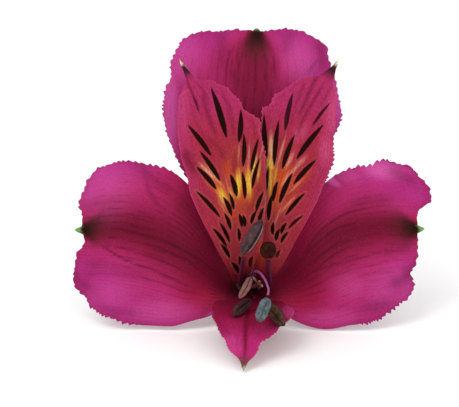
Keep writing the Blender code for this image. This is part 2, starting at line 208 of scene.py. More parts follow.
def petalMaterial(name, look):
    # look holds the hex colours and the amounts, and a mask on the mesh says where a colour shows
    material, tree, shader = newMaterial(name, petalTissue["skin"])
    streaked = "streak" in look
    # a tepal's own flat millimetres: across the midrib, along the veins, and one number for each
    flat = addNode(tree, "Attribute", "Vector", {}, attribute_name="flat")
    rows = addNode(tree, "VectorMath", 0, {0: flat, 1: petalTissue["cellRows"]}, operation="MULTIPLY")
    noise = {}
    kinds = petalTissue["noise"] | (petalTissue["streakNoise"] if streaked else {})
    for key, (pitchMm, detail, roughness) in kinds.items():
        pitchMm = look["cloudMm"] if key == "cloud" else pitchMm
        noise[key] = addNode(tree, "TexNoise", "Fac",
                             {"Vector": rows if key == "cells" else flat, "Scale": 1 / pitchMm,
                              "Detail": detail, "Roughness": roughness})

    # veins along the fan, a little wavy: (0.5 + 0.5 sin(turn * times + wander)) ^ sharpness
    veins = {}
    for key, (times, wavy, sharpness) in petalTissue["veins"].items():
        turn = addNode(tree, "Math", 0, {0: "veinTurn", 1: times}, operation="MULTIPLY")
        turn = addNode(tree, "Math", 0,
                       {0: noise["wander"], 1: look["veinWander"] * wavy, 2: turn},
                       operation="MULTIPLY_ADD")
        wave = addNode(tree, "Math", 0, {0: turn}, operation="SINE")
        wave = addNode(tree, "Math", 0, {0: wave, 1: 0.5, 2: 0.5}, operation="MULTIPLY_ADD")
        veins[key] = addNode(tree, "Math", 0, {0: wave, 1: sharpness}, operation="POWER")

    # what is spread, from which range, to which range
    dark, bright = look["tone"] * (1 - look["grain"]), look["tone"] * (1 + look["grain"])
    smooth, coarse = look["rough"] - petalTissue["roughSpread"], look["rough"] + petalTissue["roughSpread"]
    spans = {
        "cloud": (noise["cloud"], 0.34, 0.66, 0.0, 1.0),
        "patchy": (noise["patchy"], 0.42, 0.66, 0.0, 1.0),
        "sparse": (noise["sparse"], 0.36, 0.68, 0.1, 1.0),
        # glint: painted glints, pale specks where swollen cells would catch the light
        "glint": (noise["glint"], 0.64, 0.76, 0.0, look["glint"]),  # swollen cells that catch the light
        "grain": (noise["cells"], 0.3, 0.72, dark, bright),
        "rough": (noise["cells"], 0.3, 0.7, smooth, coarse),
    }
    if streaked:
        inside = addNode(tree, "Math", 0,
                         {0: noise["ragged"], 1: petalTissue["raggedMm"], 2: "streakInside"},
                         operation="MULTIPLY_ADD")
        spans["streak"] = (inside, 0.01, 0.19, 0.0, 1.0)
        spans["broken"] = (noise["broken"], 0.38, 0.62, 0.25, 1.0)
        spans["veined"] = (veins["fine"], 0.0, 0.6, 1.0, 0.7)
    spread = {}
    for key, (value, low, high, toLow, toHigh) in spans.items():
        spread[key] = addNode(tree, "MapRange", "Result",
                              {"Value": value, "From Min": low, "From Max": high, "To Min": toLow,
                               "To Max": toHigh})

    # amounts that are the product of two or three others; broad veins show most in the dark band
    products = {"broad": (veins["broad"], spread["patchy"], "veinShow"),
                "fine": (veins["fine"], spread["sparse"], look["fineVeins"])}
    if streaked:
        products["halo"] = ("halo", spread["broken"])
        products["yellow"] = ("yellow", spread["veined"])
        products["cream"] = ("cream", spread["veined"])
        products["streak"] = ("streakDeep", spread["streak"])
    shown = {}
    for key, (amount, *others) in products.items():
        for other in others:
            amount = addNode(tree, "Math", 0, {0: amount, 1: other}, operation="MULTIPLY")
        shown[key] = amount

    # the colours, each laid over those before it
    layers = [(spread["cloud"], "bladeOther")]
    layers += [(key, key) for key in ("edge", "warm", "wine", "orange", "throat", "band", "pale")]
    # painted glints in the pale colour
    layers += [(shown["broad"], "vein"), (shown["fine"], "vein"), ("line", "line"), (spread["glint"], "pale")]
    layers += [(shown[key], key) for key in ("halo", "yellow", "cream", "streak") if streaked]
    layers += [(key, key) for key in ("tipBrown", "tipDark", "tipPale")]
    colour = look["blade"]
    for amount, key in layers:
        if key in look:
            colour = addNode(tree, "Mix", 2, {0: amount, 6: colour, 7: look[key]}, data_type="RGBA")

    # the back is paler, with a green keel down the midrib
    back = colour
    for amount, key in ((petalTissue["backShare"], "back"), ("keel", "keel")):
        back = addNode(tree, "Mix", 2, {0: amount, 6: back, 7: look[key]}, data_type="RGBA")
    colour = addNode(tree, "Mix", 2, {0: "behind", 6: colour, 7: back}, data_type="RGBA")

    colour = addNode(tree, "VectorMath", 0, {0: colour, "Scale": spread["grain"]}, operation="SCALE")
    relief = addNode(tree, "Math", 0,
                     {0: veins["broad"], 1: petalTissue["veinDip"], 2: noise["cells"]},
                     operation="MULTIPLY_ADD")
    tree.links.new(spread["rough"], shader.inputs["Roughness"])
    dressShader(tree, shader, colour, relief, petalTissue["bump"])
    return material


widthAt = (0, 0.1, 0.2, 0.3, 0.4, 0.5, 0.6, 0.7, 0.8, 0.9, 1.0)
reachAt = (-1, -0.75, -0.5, -0.25, 0, 0.25, 0.5, 0.75, 1)
cupAt = (0, 0.25, 0.5, 0.75, 1.0)
bandAt = (0.3, 0.5, 0.65, 0.8, 0.9, 1.0)

# Each tepal is a flat fan bent onto its midrib. low and high are the half widths on the two sides
# of the midrib, reach is how far each vein runs as a share of the midrib, and cup is each
# margin's rise in degrees, from the claw to the tip. They are those of the solid that the piece
# replaces, but for the claws, which are wider. wave is the height of a margin's waves, how many
# and where they start; the band is the dark stripe along the midrib.
tepalShapes = {
    "outerTop": {
        "node": "tepal_outer_top", "slot": "outer_tepal_top", "kind": "outer",
        "path": [ringPoint(90, bloom["outerRing"]), (0.3, 15, 6.6), (0.6, 10.5, 15), (0.8, 8.5, 28),
                 (1.2, 9, 42), (1.5, 12, 53.1)],
        "facing": [inward(90), (0, -0.6, -0.8), (0, -1, -0.2), (0, -1, 0), (0, -1, 0.1),
                   (0, -1, 0.3)],
        "low": (2.4, 2.5, 3.2, 6.0, 9.8, 13.6, 16.3, 17.8, 18.0, 17.2, 15.0),
        "high": (2.4, 2.5, 3.2, 6.0, 9.8, 12.9, 15.2, 16.6, 16.8, 15.7, 12.9),
        "reach": (0.955, 0.995, 1.0, 0.995, 0.985, 0.995, 1.0, 0.985, 0.93),
        "cupLow": (48, 20, 2, -2, 0), "cupHigh": (48, 20, 2, -2, 0), "fan": 0.0, "heading": (0, 0, 1),
        "teethFrom": 0.42, "toothMm": 1.15, "toothDeep": 0.62, "wave": (0.35, 3.0, 0.4), "seed": 11,
        "bandWide": (7.0, 7.0, 7.0, 6.0, 4.4, 1.4), "bandDeep": 0.58, "wineEdge": (0.2, 0.2),
        "bandSkew": (1.15, 0.7), "bandPower": 2.4, "tipLong": 0.7, "tipFan": (1.3, 0.5),
        "edgeDeep": 0.2,
    },
    "outerLeft": {
        "node": "tepal_outer_left", "slot": "outer_tepal_left", "kind": "outer",
        "path": [ringPoint(210, bloom["outerRing"]), (-4.6, 10.5, 0.9), (-9.0, 5.2, 5.6),
                 (-13.7, 3.4, 9.1), (-18.9, 3, 11.5), (-24.2, 4, 12.9), (-34.2, 8, 12.6)],
        "facing": [inward(210), (0.6, -0.8, 0.2), (0.2, -1, 0), (0, -1, 0), (0, -1, 0), (0, -1, 0),
                   (-0.2, -1, 0)],
        "low": (2.4, 2.5, 2.9, 5.0, 9.6, 13.2, 15.5, 16.8, 17.6, 17.6, 16.6),
        "high": (2.6, 2.8, 3.3, 4.1, 5.5, 8.4, 11.2, 12.6, 13.4, 14.2, 13.0),
        "reach": (0.875, 0.95, 0.975, 0.985, 0.985, 1.0, 1.04, 1.04, 0.99),
        "cupLow": (48, 14, -8, -10, -10), "cupHigh": (48, 14, -5, -5, -5),
        "heading": (-0.93, 0, 0.36), "wave": (0.4, 2.6, 1.0), "seed": 23,
        # the band is wider on the upper side, as painted shade beside the inner tepal
        "bandWide": (3.6, 5.2, 5.0, 3.9, 2.9, 2.0), "wineEdge": (0.47, 0.7), "bandSkew": (1.05, 1.25),
    },
    "outerRight": {
        "node": "tepal_outer_right", "slot": "outer_tepal_right", "kind": "outer",
        "path": [ringPoint(330, bloom["outerRing"]), (5.1, 10.5, 0.9), (9.8, 5.2, 5.0),
                 (13.2, 3.4, 8.6), (17.2, 3, 11.5), (23.7, 4, 13.3), (34.0, 8, 12.8)],
        "facing": [inward(330), (-0.6, -0.8, 0.2), (-0.2, -1, 0), (0, -1, 0), (0, -1, 0), (0, -1, 0),
                   (0.2, -1, 0)],
        "low": (2.6, 2.7, 2.8, 3.1, 4.5, 7.4, 9.4, 10.8, 12.4, 14.0, 13.6),
        "high": (2.4, 2.5, 2.9, 4.8, 8.8, 12.5, 15.2, 16.8, 17.7, 17.8, 16.4),
        "reach": (1.03, 1.085, 1.07, 1.01, 0.985, 0.965, 0.935, 0.915, 0.85),
        "cupLow": (48, 14, -5, -5, -5), "cupHigh": (48, 14, -6, -7, -8),
        "heading": (0.93, 0, 0.36), "wave": (0.4, 2.8, 2.2), "seed": 37,
        "bandWide": (3.4, 4.6, 5.0, 4.0, 2.9, 2.0), "wineEdge": (0.64, 0.54), "bandSkew": (0.9, 1.2),
    },
    "innerLeft": {
        "node": "tepal_inner_left", "slot": "inner_tepal_left", "kind": "inner",
        "path": [ringPoint(140, bloom["innerRing"]), (-1.7, 12, 3.5), (-1.9, 4.6, 6.8),
                 (-2.7, 0.5, 13.7), (-5.3, -1.6, 26.4), (-8.8, -0.6, 37.2), (-13.9, 2, 46.3)],
        "facing": [inward(140), (0.2, -0.8, -0.5), (0, -1, -0.3), (-0.1, -1, 0), (-0.12, -1, 0),
                   (-0.1, -1, 0), (0, -1, 0)],
        "low": (1.7, 1.7, 1.9, 2.8, 4.7, 6.6, 7.8, 7.9, 7.0, 4.6, 0.6),
        "high": (1.7, 1.7, 1.8, 2.7, 4.8, 6.2, 7.6, 8.6, 8.0, 4.4, 0.6),
        "wave": (0.15, 4.0, 0.0), "seed": 41, "tipNarrow": 0.62,
    },
    "innerRight": {
        "node": "tepal_inner_right", "slot": "inner_tepal_right", "kind": "inner",
        "path": [ringPoint(40, bloom["innerRing"]), (2.1, 12, 3.5), (3.3, 5.5, 6.5), (5.0, 1.8, 13.7),
                 (8.8, -0.4, 26.4), (12.4, 0.4, 37.2), (17.5, 2, 46.3)],
        "facing": [inward(40), (-0.2, -0.8, -0.5), (-0.2, -1, -0.3), (-0.1, -1, 0), (-0.12, -1, 0),
                   (-0.1, -1, 0), (0, -1, 0)],
        "low": (1.7, 1.7, 1.8, 2.2, 3.6, 5.4, 7.0, 8.4, 8.0, 5.2, 0.6),
        "high": (1.7, 1.7, 1.9, 2.9, 4.4, 5.8, 6.8, 6.6, 5.8, 3.8, 0.6),
        "wave": (0.15, 4.0, 1.5), "seed": 53, "tipNarrow": 0.36,
    },
    "innerLower": {
        "node": "tepal_inner_lower", "slot": "inner_tepal_lower", "kind": "inner",
        "path": [ringPoint(270, bloom["innerRing"]), (-0.1, 14, -0.7), (0, 4, -2.2),
                 (-0.4, -5, -3.1), (-0.9, -12.6, -5.6), (-1.1, -17.6, -9.1), (-1.4, -21.3, -12.9)],
        "facing": [inward(270), (0, -0.1, 1), (0, -0.2, 1), (0, -0.5, 1), (0, -0.8, 0.6),
                   (0, -1, 0.5), (0, -1, 0.6)],
        "low": (1.7, 1.7, 1.8, 2.6, 4.6, 7.7, 8.7, 8.4, 6.6, 4.0, 0.5),
        "high": (1.7, 1.7, 1.8, 2.6, 4.6, 7.5, 8.3, 7.2, 5.2, 3.2, 0.5),
        "cupLow": (46, 27, 20, 6, 5), "cupHigh": (46, 27, 20, 6, 5), "heading": (0, -1, 0),
        "teethFrom": 0.4, "toothMm": 0.85, "toothDeep": 0.34, "wave": (0.15, 4.0, 0.7), "seed": 67,
    },
}

# what a tepal has by its kind where it gives nothing of its own
tepalKinds = {
    "outer": {
        "fan": 0.75, "teethFrom": 0.66, "toothMm": 1.3, "toothDeep": 0.74, "bandDeep": 0.84,
        "bandPower": 2.2, "tipLong": 1.6, "tipNarrow": 0.0, "tipFan": (1.1, 0.6), "edgeDeep": 0.65,
    },
    "inner": {
        "reach": (0.97, 0.97, 0.98, 0.99, 1.0, 0.99, 0.98, 0.97, 0.97),
        "cupLow": (46, 24, 12, 5, 5), "cupHigh": (46, 24, 12, 5, 5), "fan": 0.0, "heading": (0, 0, 1),
        "teethFrom": 0.56, "toothMm": 0.8, "toothDeep": 0.5, "tipNarrow": 0.0,
    },
}

# What the six tepals share. Lengths are in millimetres, places along a tepal are shares of it from
# claw to tip, and places across it are shares of its half width.
tepalForm = {
    "rows": {"outer": 260, "inner": 380}, "columns": {"outer": 88, "inner": 84}, "crowding": 1.25,
    "thick": 0.36, "rimThick": 0.2, "sharpDegrees": 50.0, "slopeMm": 0.2, "leastBend": 1e-4,
    "narrowing": (0.915, 0.965), "fanGrown": 0.35, "waves": (0.35, 0.6), "wavesAside": 1.3,
    "toothedMargin": 0.9, "teethGrow": 0.08, "innerTeethEnd": (0.9, 0.97), "tipTeethFrom": 0.93,
    "tipTeethGrow": 1.5, "tipTeethLonger": 1.1, "tipTeethAside": 2.0, "pointFrom": 0.95, "pointWide": 0.55,
}

# Teeth: least and added share of the pitch and of the height, the power of the rise, the share of
# a tooth that drops, how far all are set in, and how many are drawn for a length of edge.
toothForm = {"pitch": (0.55, 0.9), "height": (0.35, 0.9), "rise": 0.8, "drop": 0.25, "inset": 0.4,
             "enough": (1.8, 6)}

# The photograph's view: the middle of its frame, one pixel in millimetres at the throat, and the
# camera, straight in front of the face.
photoView = {"middle": (229.5, 203.5), "pixelMm": 0.1955, "lensAway": 450.0,
             "aimAt": (-4.0, 0.0, 17.9), "lensMm": 180.55, "sensorMm": 36.0, "clipStart": 0.01}


def photoPlane(points):
    # where a point shows in the photograph's frame, in pixels, by a straight line to the lens
    x, y, z = np.moveaxis(points, -1, 0)
    pixels = photoView["lensAway"] / photoView["pixelMm"] / (photoView["lensAway"] + y)
    column = photoView["middle"][0] + pixels * (x - photoView["aimAt"][0])
    line = photoView["middle"][1] - pixels * (z - photoView["aimAt"][2])
    return column, line


# Each real margin has its own bumps and bays. A nudge draws a tepal's surface a little way: where
# in the photograph's frame, over what radius, and how far right and down, all in its pixels.
marginNudges = {
    "outerTop": [
        (212, 28, 22, 0, 4), (321, 46, 13, 5, -3), (168, 77, 9, 4, 0), (165, 120, 28, -2, 0),
        (341, 115, 11, 3, 0), (334, 142, 7, -4, 0), (250, 31, 8, 0, -1),
    ],
    "outerLeft": [
        (84, 190, 14, 5, 2), (77, 203, 5, -2, 0), (120, 161, 20, 0, 1.5), (172, 173, 20, 0, -3.5),
        (81, 244, 11, 7, 0), (84, 299, 13, 5, -4), (130, 320, 26, 0, 5), (195, 320, 17, 0, -3.5),
        (74, 268, 10, 1, 0),
    ],
    "outerRight": [
        (338, 174, 20, 0, -4.5), (370, 164, 7, 0, 3), (398, 162, 14, 0, 1.5), (422, 176, 9, -3, 1),
        (428, 199, 8, 4.5, 3), (414, 275, 8, -6, 0), (416, 290, 7, -2, 0), (403, 304, 11, -4.5, -4),
        (372, 320, 17, 0, 5.5), (325, 329, 30, 0, 1.2), (392, 313, 7, -3, -1.5),
    ],
    "innerLeft": [
        (184, 175, 11, 2, 0), (252, 104, 9, -7, 3), (238, 94, 8, -2, 1.5), (258, 121, 6, 4, 0),
        (204, 75, 9, -1, 3.5), (218, 82, 7, 0, 2),
    ],
    "innerRight": [
        (332, 162, 12, 4, 0), (326, 178, 6, 1.5, 0), (265, 113, 6, -3, -5), (276, 96, 8, -2, -2),
        (316, 70, 8, 0, 2),
    ],
    "innerLower": [
        (230, 350, 8, -3.5, 1.5), (263, 342, 9, -6.5, -2), (219, 331, 8, -1.5, 1),
        (282, 326, 6, -1.5, -1.5), (206, 305, 8, 5, 6), (291, 304, 7, 0, 5), (243, 366, 4, 0, 2.5),
    ],
}


def nudged(name, points):
    # the shift falls off as a bell round each place, and keeps the depth from the lens
    column, line = photoPlane(points)
    pixelHere = photoView["pixelMm"] * (1 + points[..., 1] / photoView["lensAway"])
    moved = points.copy()
    for atColumn, atLine, radius, right, down in marginNudges[name]:
        pull = pixelHere * bell(np.hypot(column - atColumn, line - atLine), radius)
        moved[..., 0] += pull * right
        moved[..., 2] -= pull * down
    return moved


def toothProfile(distance, pitch, deep, seed):
    # irregular teeth along an edge: each rises slowly and drops quickly, with its own length and
    # height, drawn from a seeded generator
    rng = np.random.default_rng(seed)
    dense, spare = toothForm["enough"]
    count = int(distance.max() / pitch * dense) + spare
    least, more = toothForm["pitch"]
    start = np.cumsum(pitch * (least + more * rng.random(count))) - 2 * pitch
    least, more = toothForm["height"]
    height = deep * (least + more * rng.random(count))
    k = np.clip(np.searchsorted(start, distance) - 1, 0, count - 2)
    part = np.clip((distance - start[k]) / (start[k + 1] - start[k]), 0, 1)
    drop = np.clip((1 - part) / toothForm["drop"], 0, 1)
    return height[k] * part ** toothForm["rise"] * drop - toothForm["inset"] * deep


def tepalSurface(name, shape, u, v):
    # u runs along the veins and v from margin to margin. s = u * reach(v) * length along the
    # midrib, t = v * width(u) across it; the point is midrib(s), plus t along the row, bent up as
    # an arc by the cup, with teeth added at the margins and a small point at an outer tip
    form = tepalForm
    knots, length = measurePath(shape["path"])
    s = u * smoothCurve(reachAt, shape["reach"], v) * length
    side = np.sign(v)
    half = np.where(v < 0, smoothCurve(widthAt, shape["low"], u), smoothCurve(widthAt, shape["high"], u))
    half = half * (1 - shape["tipNarrow"] * ramp(u, *form["narrowing"]))
    start = form["toothedMargin"]
    toothed = ramp(u, shape["teethFrom"], shape["teethFrom"] + form["teethGrow"])
    toothed = toothed * np.clip((np.abs(v) - start) / (1 - start), 0, 1)
    if shape["kind"] == "inner":
        toothed = toothed * (1 - ramp(u, *form["innerTeethEnd"]))
    lowTeeth = toothProfile(u * length, shape["toothMm"], shape["toothDeep"], shape["seed"])
    highTeeth = toothProfile(u * length, shape["toothMm"], shape["toothDeep"], shape["seed"] + 1)
    across = v * half + side * toothed * np.where(v < 0, lowTeeth, highTeeth)
    if shape["kind"] == "outer":
        start = form["tipTeethFrom"]
        grown = np.clip((u - start) / (1 - start), 0, 1) ** form["tipTeethGrow"]
        tipTeeth = toothProfile((v + 1) * half, shape["toothMm"] * form["tipTeethLonger"],
                                shape["toothDeep"], shape["seed"] + 2)
        s = s + grown * tipTeeth * (1 - bell(v * half, form["tipTeethAside"]))
        s = s + shape["tipLong"] * ramp(u, form["pointFrom"], 1) * bell(v * half, form["pointWide"], 4)

    # the fan's rows lie square to the midrib, or to the tepal's heading where its fan is turned
    centre = smoothCurve(knots, shape["path"], s)
    forward = unit(smoothCurve(knots, shape["path"], s + form["slopeMm"])
                   - smoothCurve(knots, shape["path"], s - form["slopeMm"]))
    face = smoothCurve(knots, shape["facing"], np.clip(s, 0, length))
    fan = shape["fan"] * np.clip(u / form["fanGrown"], 0, 1)[..., None]
    spread = forward * (1 - fan) + np.array(shape["heading"]) * fan
    row = unit(np.cross(spread, face))
    face = unit(np.cross(row, spread))

    # the arc of a row: t sin(bend) / bend along it and |t| (1 - cos(bend)) / bend up from it
    cup = np.where(v < 0, smoothCurve(cupAt, shape["cupLow"], u), smoothCurve(cupAt, shape["cupHigh"], u))
    bend = np.radians(cup) * np.abs(v)
    bend = np.where(np.abs(bend) < form["leastBend"], form["leastBend"], bend)
    reach = across * np.sin(bend) / bend
    rise = np.abs(across) * (1 - np.cos(bend)) / bend
    high, count, turn = shape["wave"]
    wave = np.sin(2 * np.pi * count * u + turn + form["wavesAside"] * side)
    rise = rise + high * np.abs(v) ** 3 * ramp(u, *form["waves"]) * wave
    points = centre + row * reach[..., None] + face * rise[..., None]
    return nudged(name, points), s, across, length


# Streaks on the two upper inner tepals, each by its two ends in the photograph's own frame,
# its width and how dark it is. They are narrow spindles of dark cells between the veins.
streakMarks = {
    "innerLeft": [
        (192, 95, 199, 113, 2.6, 0.6), (211, 87, 227, 139, 6.8, 1), (241, 109, 239, 143, 5.8, 1),
        (187, 124, 212, 157, 5.6, 1), (244, 133, 243, 168, 5.0, 1), (259, 137, 251, 173, 4.0, 1),
        (260, 157, 252, 190, 4.2, 1), (199, 150, 221, 182, 5.4, 1), (196, 166, 217, 190, 5.6, 1),
        (242, 170, 245, 200, 4.6, 1), (230, 173, 237, 197, 5.8, 1), (195, 190, 221, 218, 4.4, 1),
        (223, 196, 232, 216, 5.0, 1), (229, 192, 234, 210, 3.8, 1), (224, 212, 231, 230, 4.2, 1),
        (219, 221, 230, 243, 4.0, 1), (212, 227, 227, 247, 4.2, 1), (239, 213, 242, 227, 4.6, 1),
        (243, 214, 245, 227, 3.8, 1), (238, 227, 239, 241, 3.6, 1), (220, 243, 230, 258, 4.2, 1),
        (231, 261, 239, 273, 4.6, 1), (264, 191, 256, 212, 4.2, 1), (257, 210, 251, 224, 4.0, 1),
        (264, 207, 259, 224, 4.0, 1), (239, 255, 240, 265, 4.0, 1), (253, 255, 250, 267, 4.4, 0.9),
    ],
    "innerRight": [
        (264, 113, 267, 159, 5.4, 1), (279, 119, 274, 167, 5.4, 1), (293, 92, 285, 132, 5.4, 0.92),
        (331, 102, 312, 127, 3.4, 0.88), (324, 124, 296, 160, 6.0, 1), (295, 134, 282, 170, 5.4, 1),
        (317, 159, 293, 185, 5.4, 1), (293, 172, 279, 204, 5.6, 1), (269, 165, 267, 191, 3.2, 1),
        (278, 180, 273, 202, 4.6, 1), (272, 194, 268.5, 221, 5.0, 1), (306, 192, 285, 216, 4.4, 1),
        (304, 215, 288, 229, 3.4, 0.95), (274, 221, 273, 235, 4.2, 1), (287, 222, 281, 234, 4.0, 1),
        (280, 228, 276, 241, 4.2, 1), (289, 231, 281, 243, 3.6, 1), (281, 249, 277, 258, 3.0, 0.9),
        (265, 213, 263, 224, 2.6, 0.9),
    ],
}

# Soft patches of colour: centre, half length and half width in the photograph's pixels, lean in
# degrees from upright, and strength.
patchMarks = {
    "yellow": [
        (249, 183, 13, 2.8, -3, 0.86), (238.5, 184, 12, 2.8, 0, 0.95), (223, 196, 9, 3.2, -25, 0.8),
        (254, 168, 10, 1.4, 14, 0.7), (270.5, 164, 8, 3.2, 0, 1.0), (270.5, 182, 14, 1.7, 2, 0.8),
        (275, 176, 9, 1.6, 12, 0.5), (232, 196, 7, 1.8, -15, 0.5), (271, 151, 9, 2.0, -2, 0.62),
        (259, 172, 9, 1.2, 8, 0.5),
    ],
    "cream": [
        (271.5, 149, 14, 2.2, -2, 1.0), (239, 152, 9, 0.9, 4, 0.34), (249, 156, 12, 0.9, 3, 0.46),
        (255, 163, 12, 0.7, 14, 0.3), (208, 172, 11, 1.4, -44, 0.9), (215, 176, 14, 1.1, -38, 0.57),
        (281, 152, 14, 1.1, 16, 0.57), (294, 170, 10, 1.6, 40, 0.5), (300, 163, 8, 2.2, 45, 0.4),
        (220, 197, 9, 0.9, -30, 0.35), (288, 204, 10, 1, 42, 0.46), (296, 186, 9, 0.9, 45, 0.4),
        (278, 215, 12, 1, 20, 0.34), (290, 160, 8, 1.5, 25, 0.57), (285, 180, 8, 1.6, 25, 0.52),
        (244, 160, 8, 0.9, 4, 0.34), (262, 150, 12, 0.8, 14, 0.3), (284, 190, 10, 0.8, 22, 0.4),
        (266, 200, 10, 0.8, 4, 0.3), (228, 186, 10, 0.8, -16, 0.35), (222, 206, 8, 0.8, -30, 0.3),
    ],
    "orange": [
        (243, 188, 20, 13, 0, 0.85), (218, 186, 22, 7, -35, 0.85), (280, 186, 26, 9, 18, 0.95),
        (298, 184, 18, 4, 45, 0.55), (238, 210, 12, 12, 0, 0.45), (261, 258, 18, 3, 0, 0.55),
        (272, 168, 16, 5, 0, 0.8), (225, 205, 16, 7, -25, 0.6), (288, 203, 14, 4, 40, 0.6),
        (229, 172, 14, 6, -12, 0.65), (254, 200, 14, 7, 5, 0.55), (236, 158, 12, 7, 0, 0.3),
        (293, 186, 14, 6, 40, 0.6), (262, 186, 14, 5, 0, 0.4),
    ],
}

# Dark veins that stand out singly, and broader strokes of painted shade in folds, dents and creases, beside
# an inner tepal and under the anthers, all as soft strokes: width and strength, then points in the
# photograph's own frame.
veinAndShadeStrokes = {
    "outerLeft": [
        (1.1, 0.95, [(108, 226), (140, 234), (172, 244), (200, 260), (224, 280)]),
        (1.0, 0.85, [(150, 247), (175, 255), (205, 268)]),
        (1.1, 0.75, [(92, 238), (122, 258), (158, 272), (192, 287)]),
        (1.0, 0.65, [(100, 243), (130, 250), (165, 262), (200, 280)]),
        (1.0, 0.45, [(120, 276), (150, 279), (180, 288), (205, 296)]),
        # broader strokes: painted shade in folds and dents, the widest beside the inner tepal
        (3.0, 0.3, [(140, 166), (146, 178), (152, 196), (170, 215)]),
        (2.0, 0.25, [(76, 276), (100, 274), (125, 276), (150, 282)]),
        (7.0, 0.25, [(80, 262), (104, 266), (132, 272), (160, 280)]),
        (5.0, 0.3, [(96, 304), (118, 312), (140, 312)]), (5.0, 0.3, [(72, 270), (82, 282), (92, 290)]),
        (7.0, 0.25, [(82, 208), (100, 204), (130, 196)]),
        (6.0, 0.35, [(136, 164), (150, 176), (164, 186), (180, 196)]),
        (11.0, 0.5, [(176, 190), (190, 212), (204, 234), (222, 264)]),
        # thin dark veins
        (0.8, 0.7, [(124, 225), (142, 228), (160, 232)]),
        (0.8, 0.6, [(126, 230), (146, 236), (170, 246)]),
        (0.8, 0.6, [(150, 236), (172, 244), (196, 256)]),
        (0.8, 0.5, [(110, 214), (136, 215), (166, 222)]),
    ],
    "outerRight": [
        (1.2, 0.7, [(372, 208), (345, 214), (320, 232), (298, 262)]),
        (1.1, 0.7, [(360, 222), (338, 228), (314, 246), (292, 272)]),
        (1.1, 0.65, [(380, 234), (350, 240), (322, 254), (298, 274)]),
        (1.2, 0.45, [(404, 244), (380, 252), (352, 260), (322, 268), (300, 278)]),
        (1.1, 0.35, [(400, 258), (376, 264), (345, 272), (318, 280)]),
        (1.3, 0.25, [(404, 276), (386, 272), (362, 276), (335, 286)]),
        # broader strokes: painted shade in folds
        (7.0, 0.4, [(412, 268), (402, 280), (388, 284)]),
        (6.0, 0.35, [(388, 170), (402, 176), (416, 186)]),
        (6.0, 0.3, [(392, 302), (376, 306), (360, 308)]),
        (7.0, 0.3, [(395, 200), (370, 200), (345, 206)]),
        (6.0, 0.35, [(412, 246), (396, 250), (376, 254)]),
    ],
    "outerTop": [
        (0.96, 0.7, [(252, 40), (250, 60), (248, 90)]), (0.88, 0.7, [(260, 42), (266, 62), (264, 92)]),
        (0.96, 0.7, [(243, 50), (238, 70), (238, 92)]), (0.96, 0.7, [(271, 46), (274, 66), (272, 90)]),
        (0.8, 0.58, [(257, 50), (256, 70), (255, 96)]), (1.04, 0.52, [(236, 42), (228, 60), (226, 80)]),
        (0.8, 0.58, [(246, 60), (244, 76), (243, 98)]), (0.8, 0.58, [(267, 56), (268, 74), (267, 96)]),
        (0.88, 0.46, [(233, 56), (231, 70), (232, 84)]), (1.8, 0.3, [(278, 52), (277, 70), (276, 86)]),
        # broader strokes: painted shade in creases and folds
        (2.4, 0.3, [(330, 50), (316, 62), (306, 76)]), (5, 0.4, [(318, 42), (322, 56), (322, 70)]),
        (7, 0.35, [(222, 32), (222, 50), (218, 72)]), (6, 0.25, [(292, 30), (288, 42), (284, 56)]),
        (2, 0.25, [(218, 40), (212, 60), (212, 80)]),
    ],
    "innerLeft": [
        (1.5, 0.7, [(185, 78), (192, 92), (200, 112)]),
        (2.6, 0.6, [(203, 84), (205, 104), (212, 126), (220, 140)]),
        (1.8, 0.5, [(228, 98), (232, 116), (234, 140)]),
        (1.6, 0.45, [(196, 82), (206, 94), (210, 108)]),
        (2.2, 0.4, [(196, 120), (204, 136), (216, 152)]),
        (2.2, 0.45, [(222, 90), (227, 104), (230, 122)]),
        (2.0, 0.35, [(250, 116), (254, 128), (256, 140)]),
        # painted shade near the margin
        (5.0, 0.75, [(184, 150), (190, 163), (198, 174)]),
        (6.0, 0.6, [(262, 180), (257, 200), (250, 212)]),
        (3.5, 0.5, [(266, 166), (265, 190), (262, 214)]),
        (3.0, 0.5, [(236, 150), (235, 164), (233, 174)]),
        (4.0, 0.4, [(206, 136), (220, 150), (228, 166)]),
    ],
    "innerRight": [
        (2.4, 0.65, [(320, 72), (312, 86), (305, 102), (296, 124)]),
        (2.0, 0.65, [(326, 80), (314, 100), (302, 122), (297, 140)]),
        (2.0, 0.45, [(306, 80), (300, 94), (294, 110)]),
        (1.6, 0.35, [(332, 84), (326, 96), (318, 110)]),
        (2.2, 0.4, [(298, 92), (294, 112), (288, 132)]),
    ],
    "innerLower": [
        # painted shade under the anthers
        (7.0, 0.5, [(244, 320), (260, 328), (278, 324)]),
        (4.0, 0.4, [(214, 318), (224, 330), (232, 336)]),
    ],
}

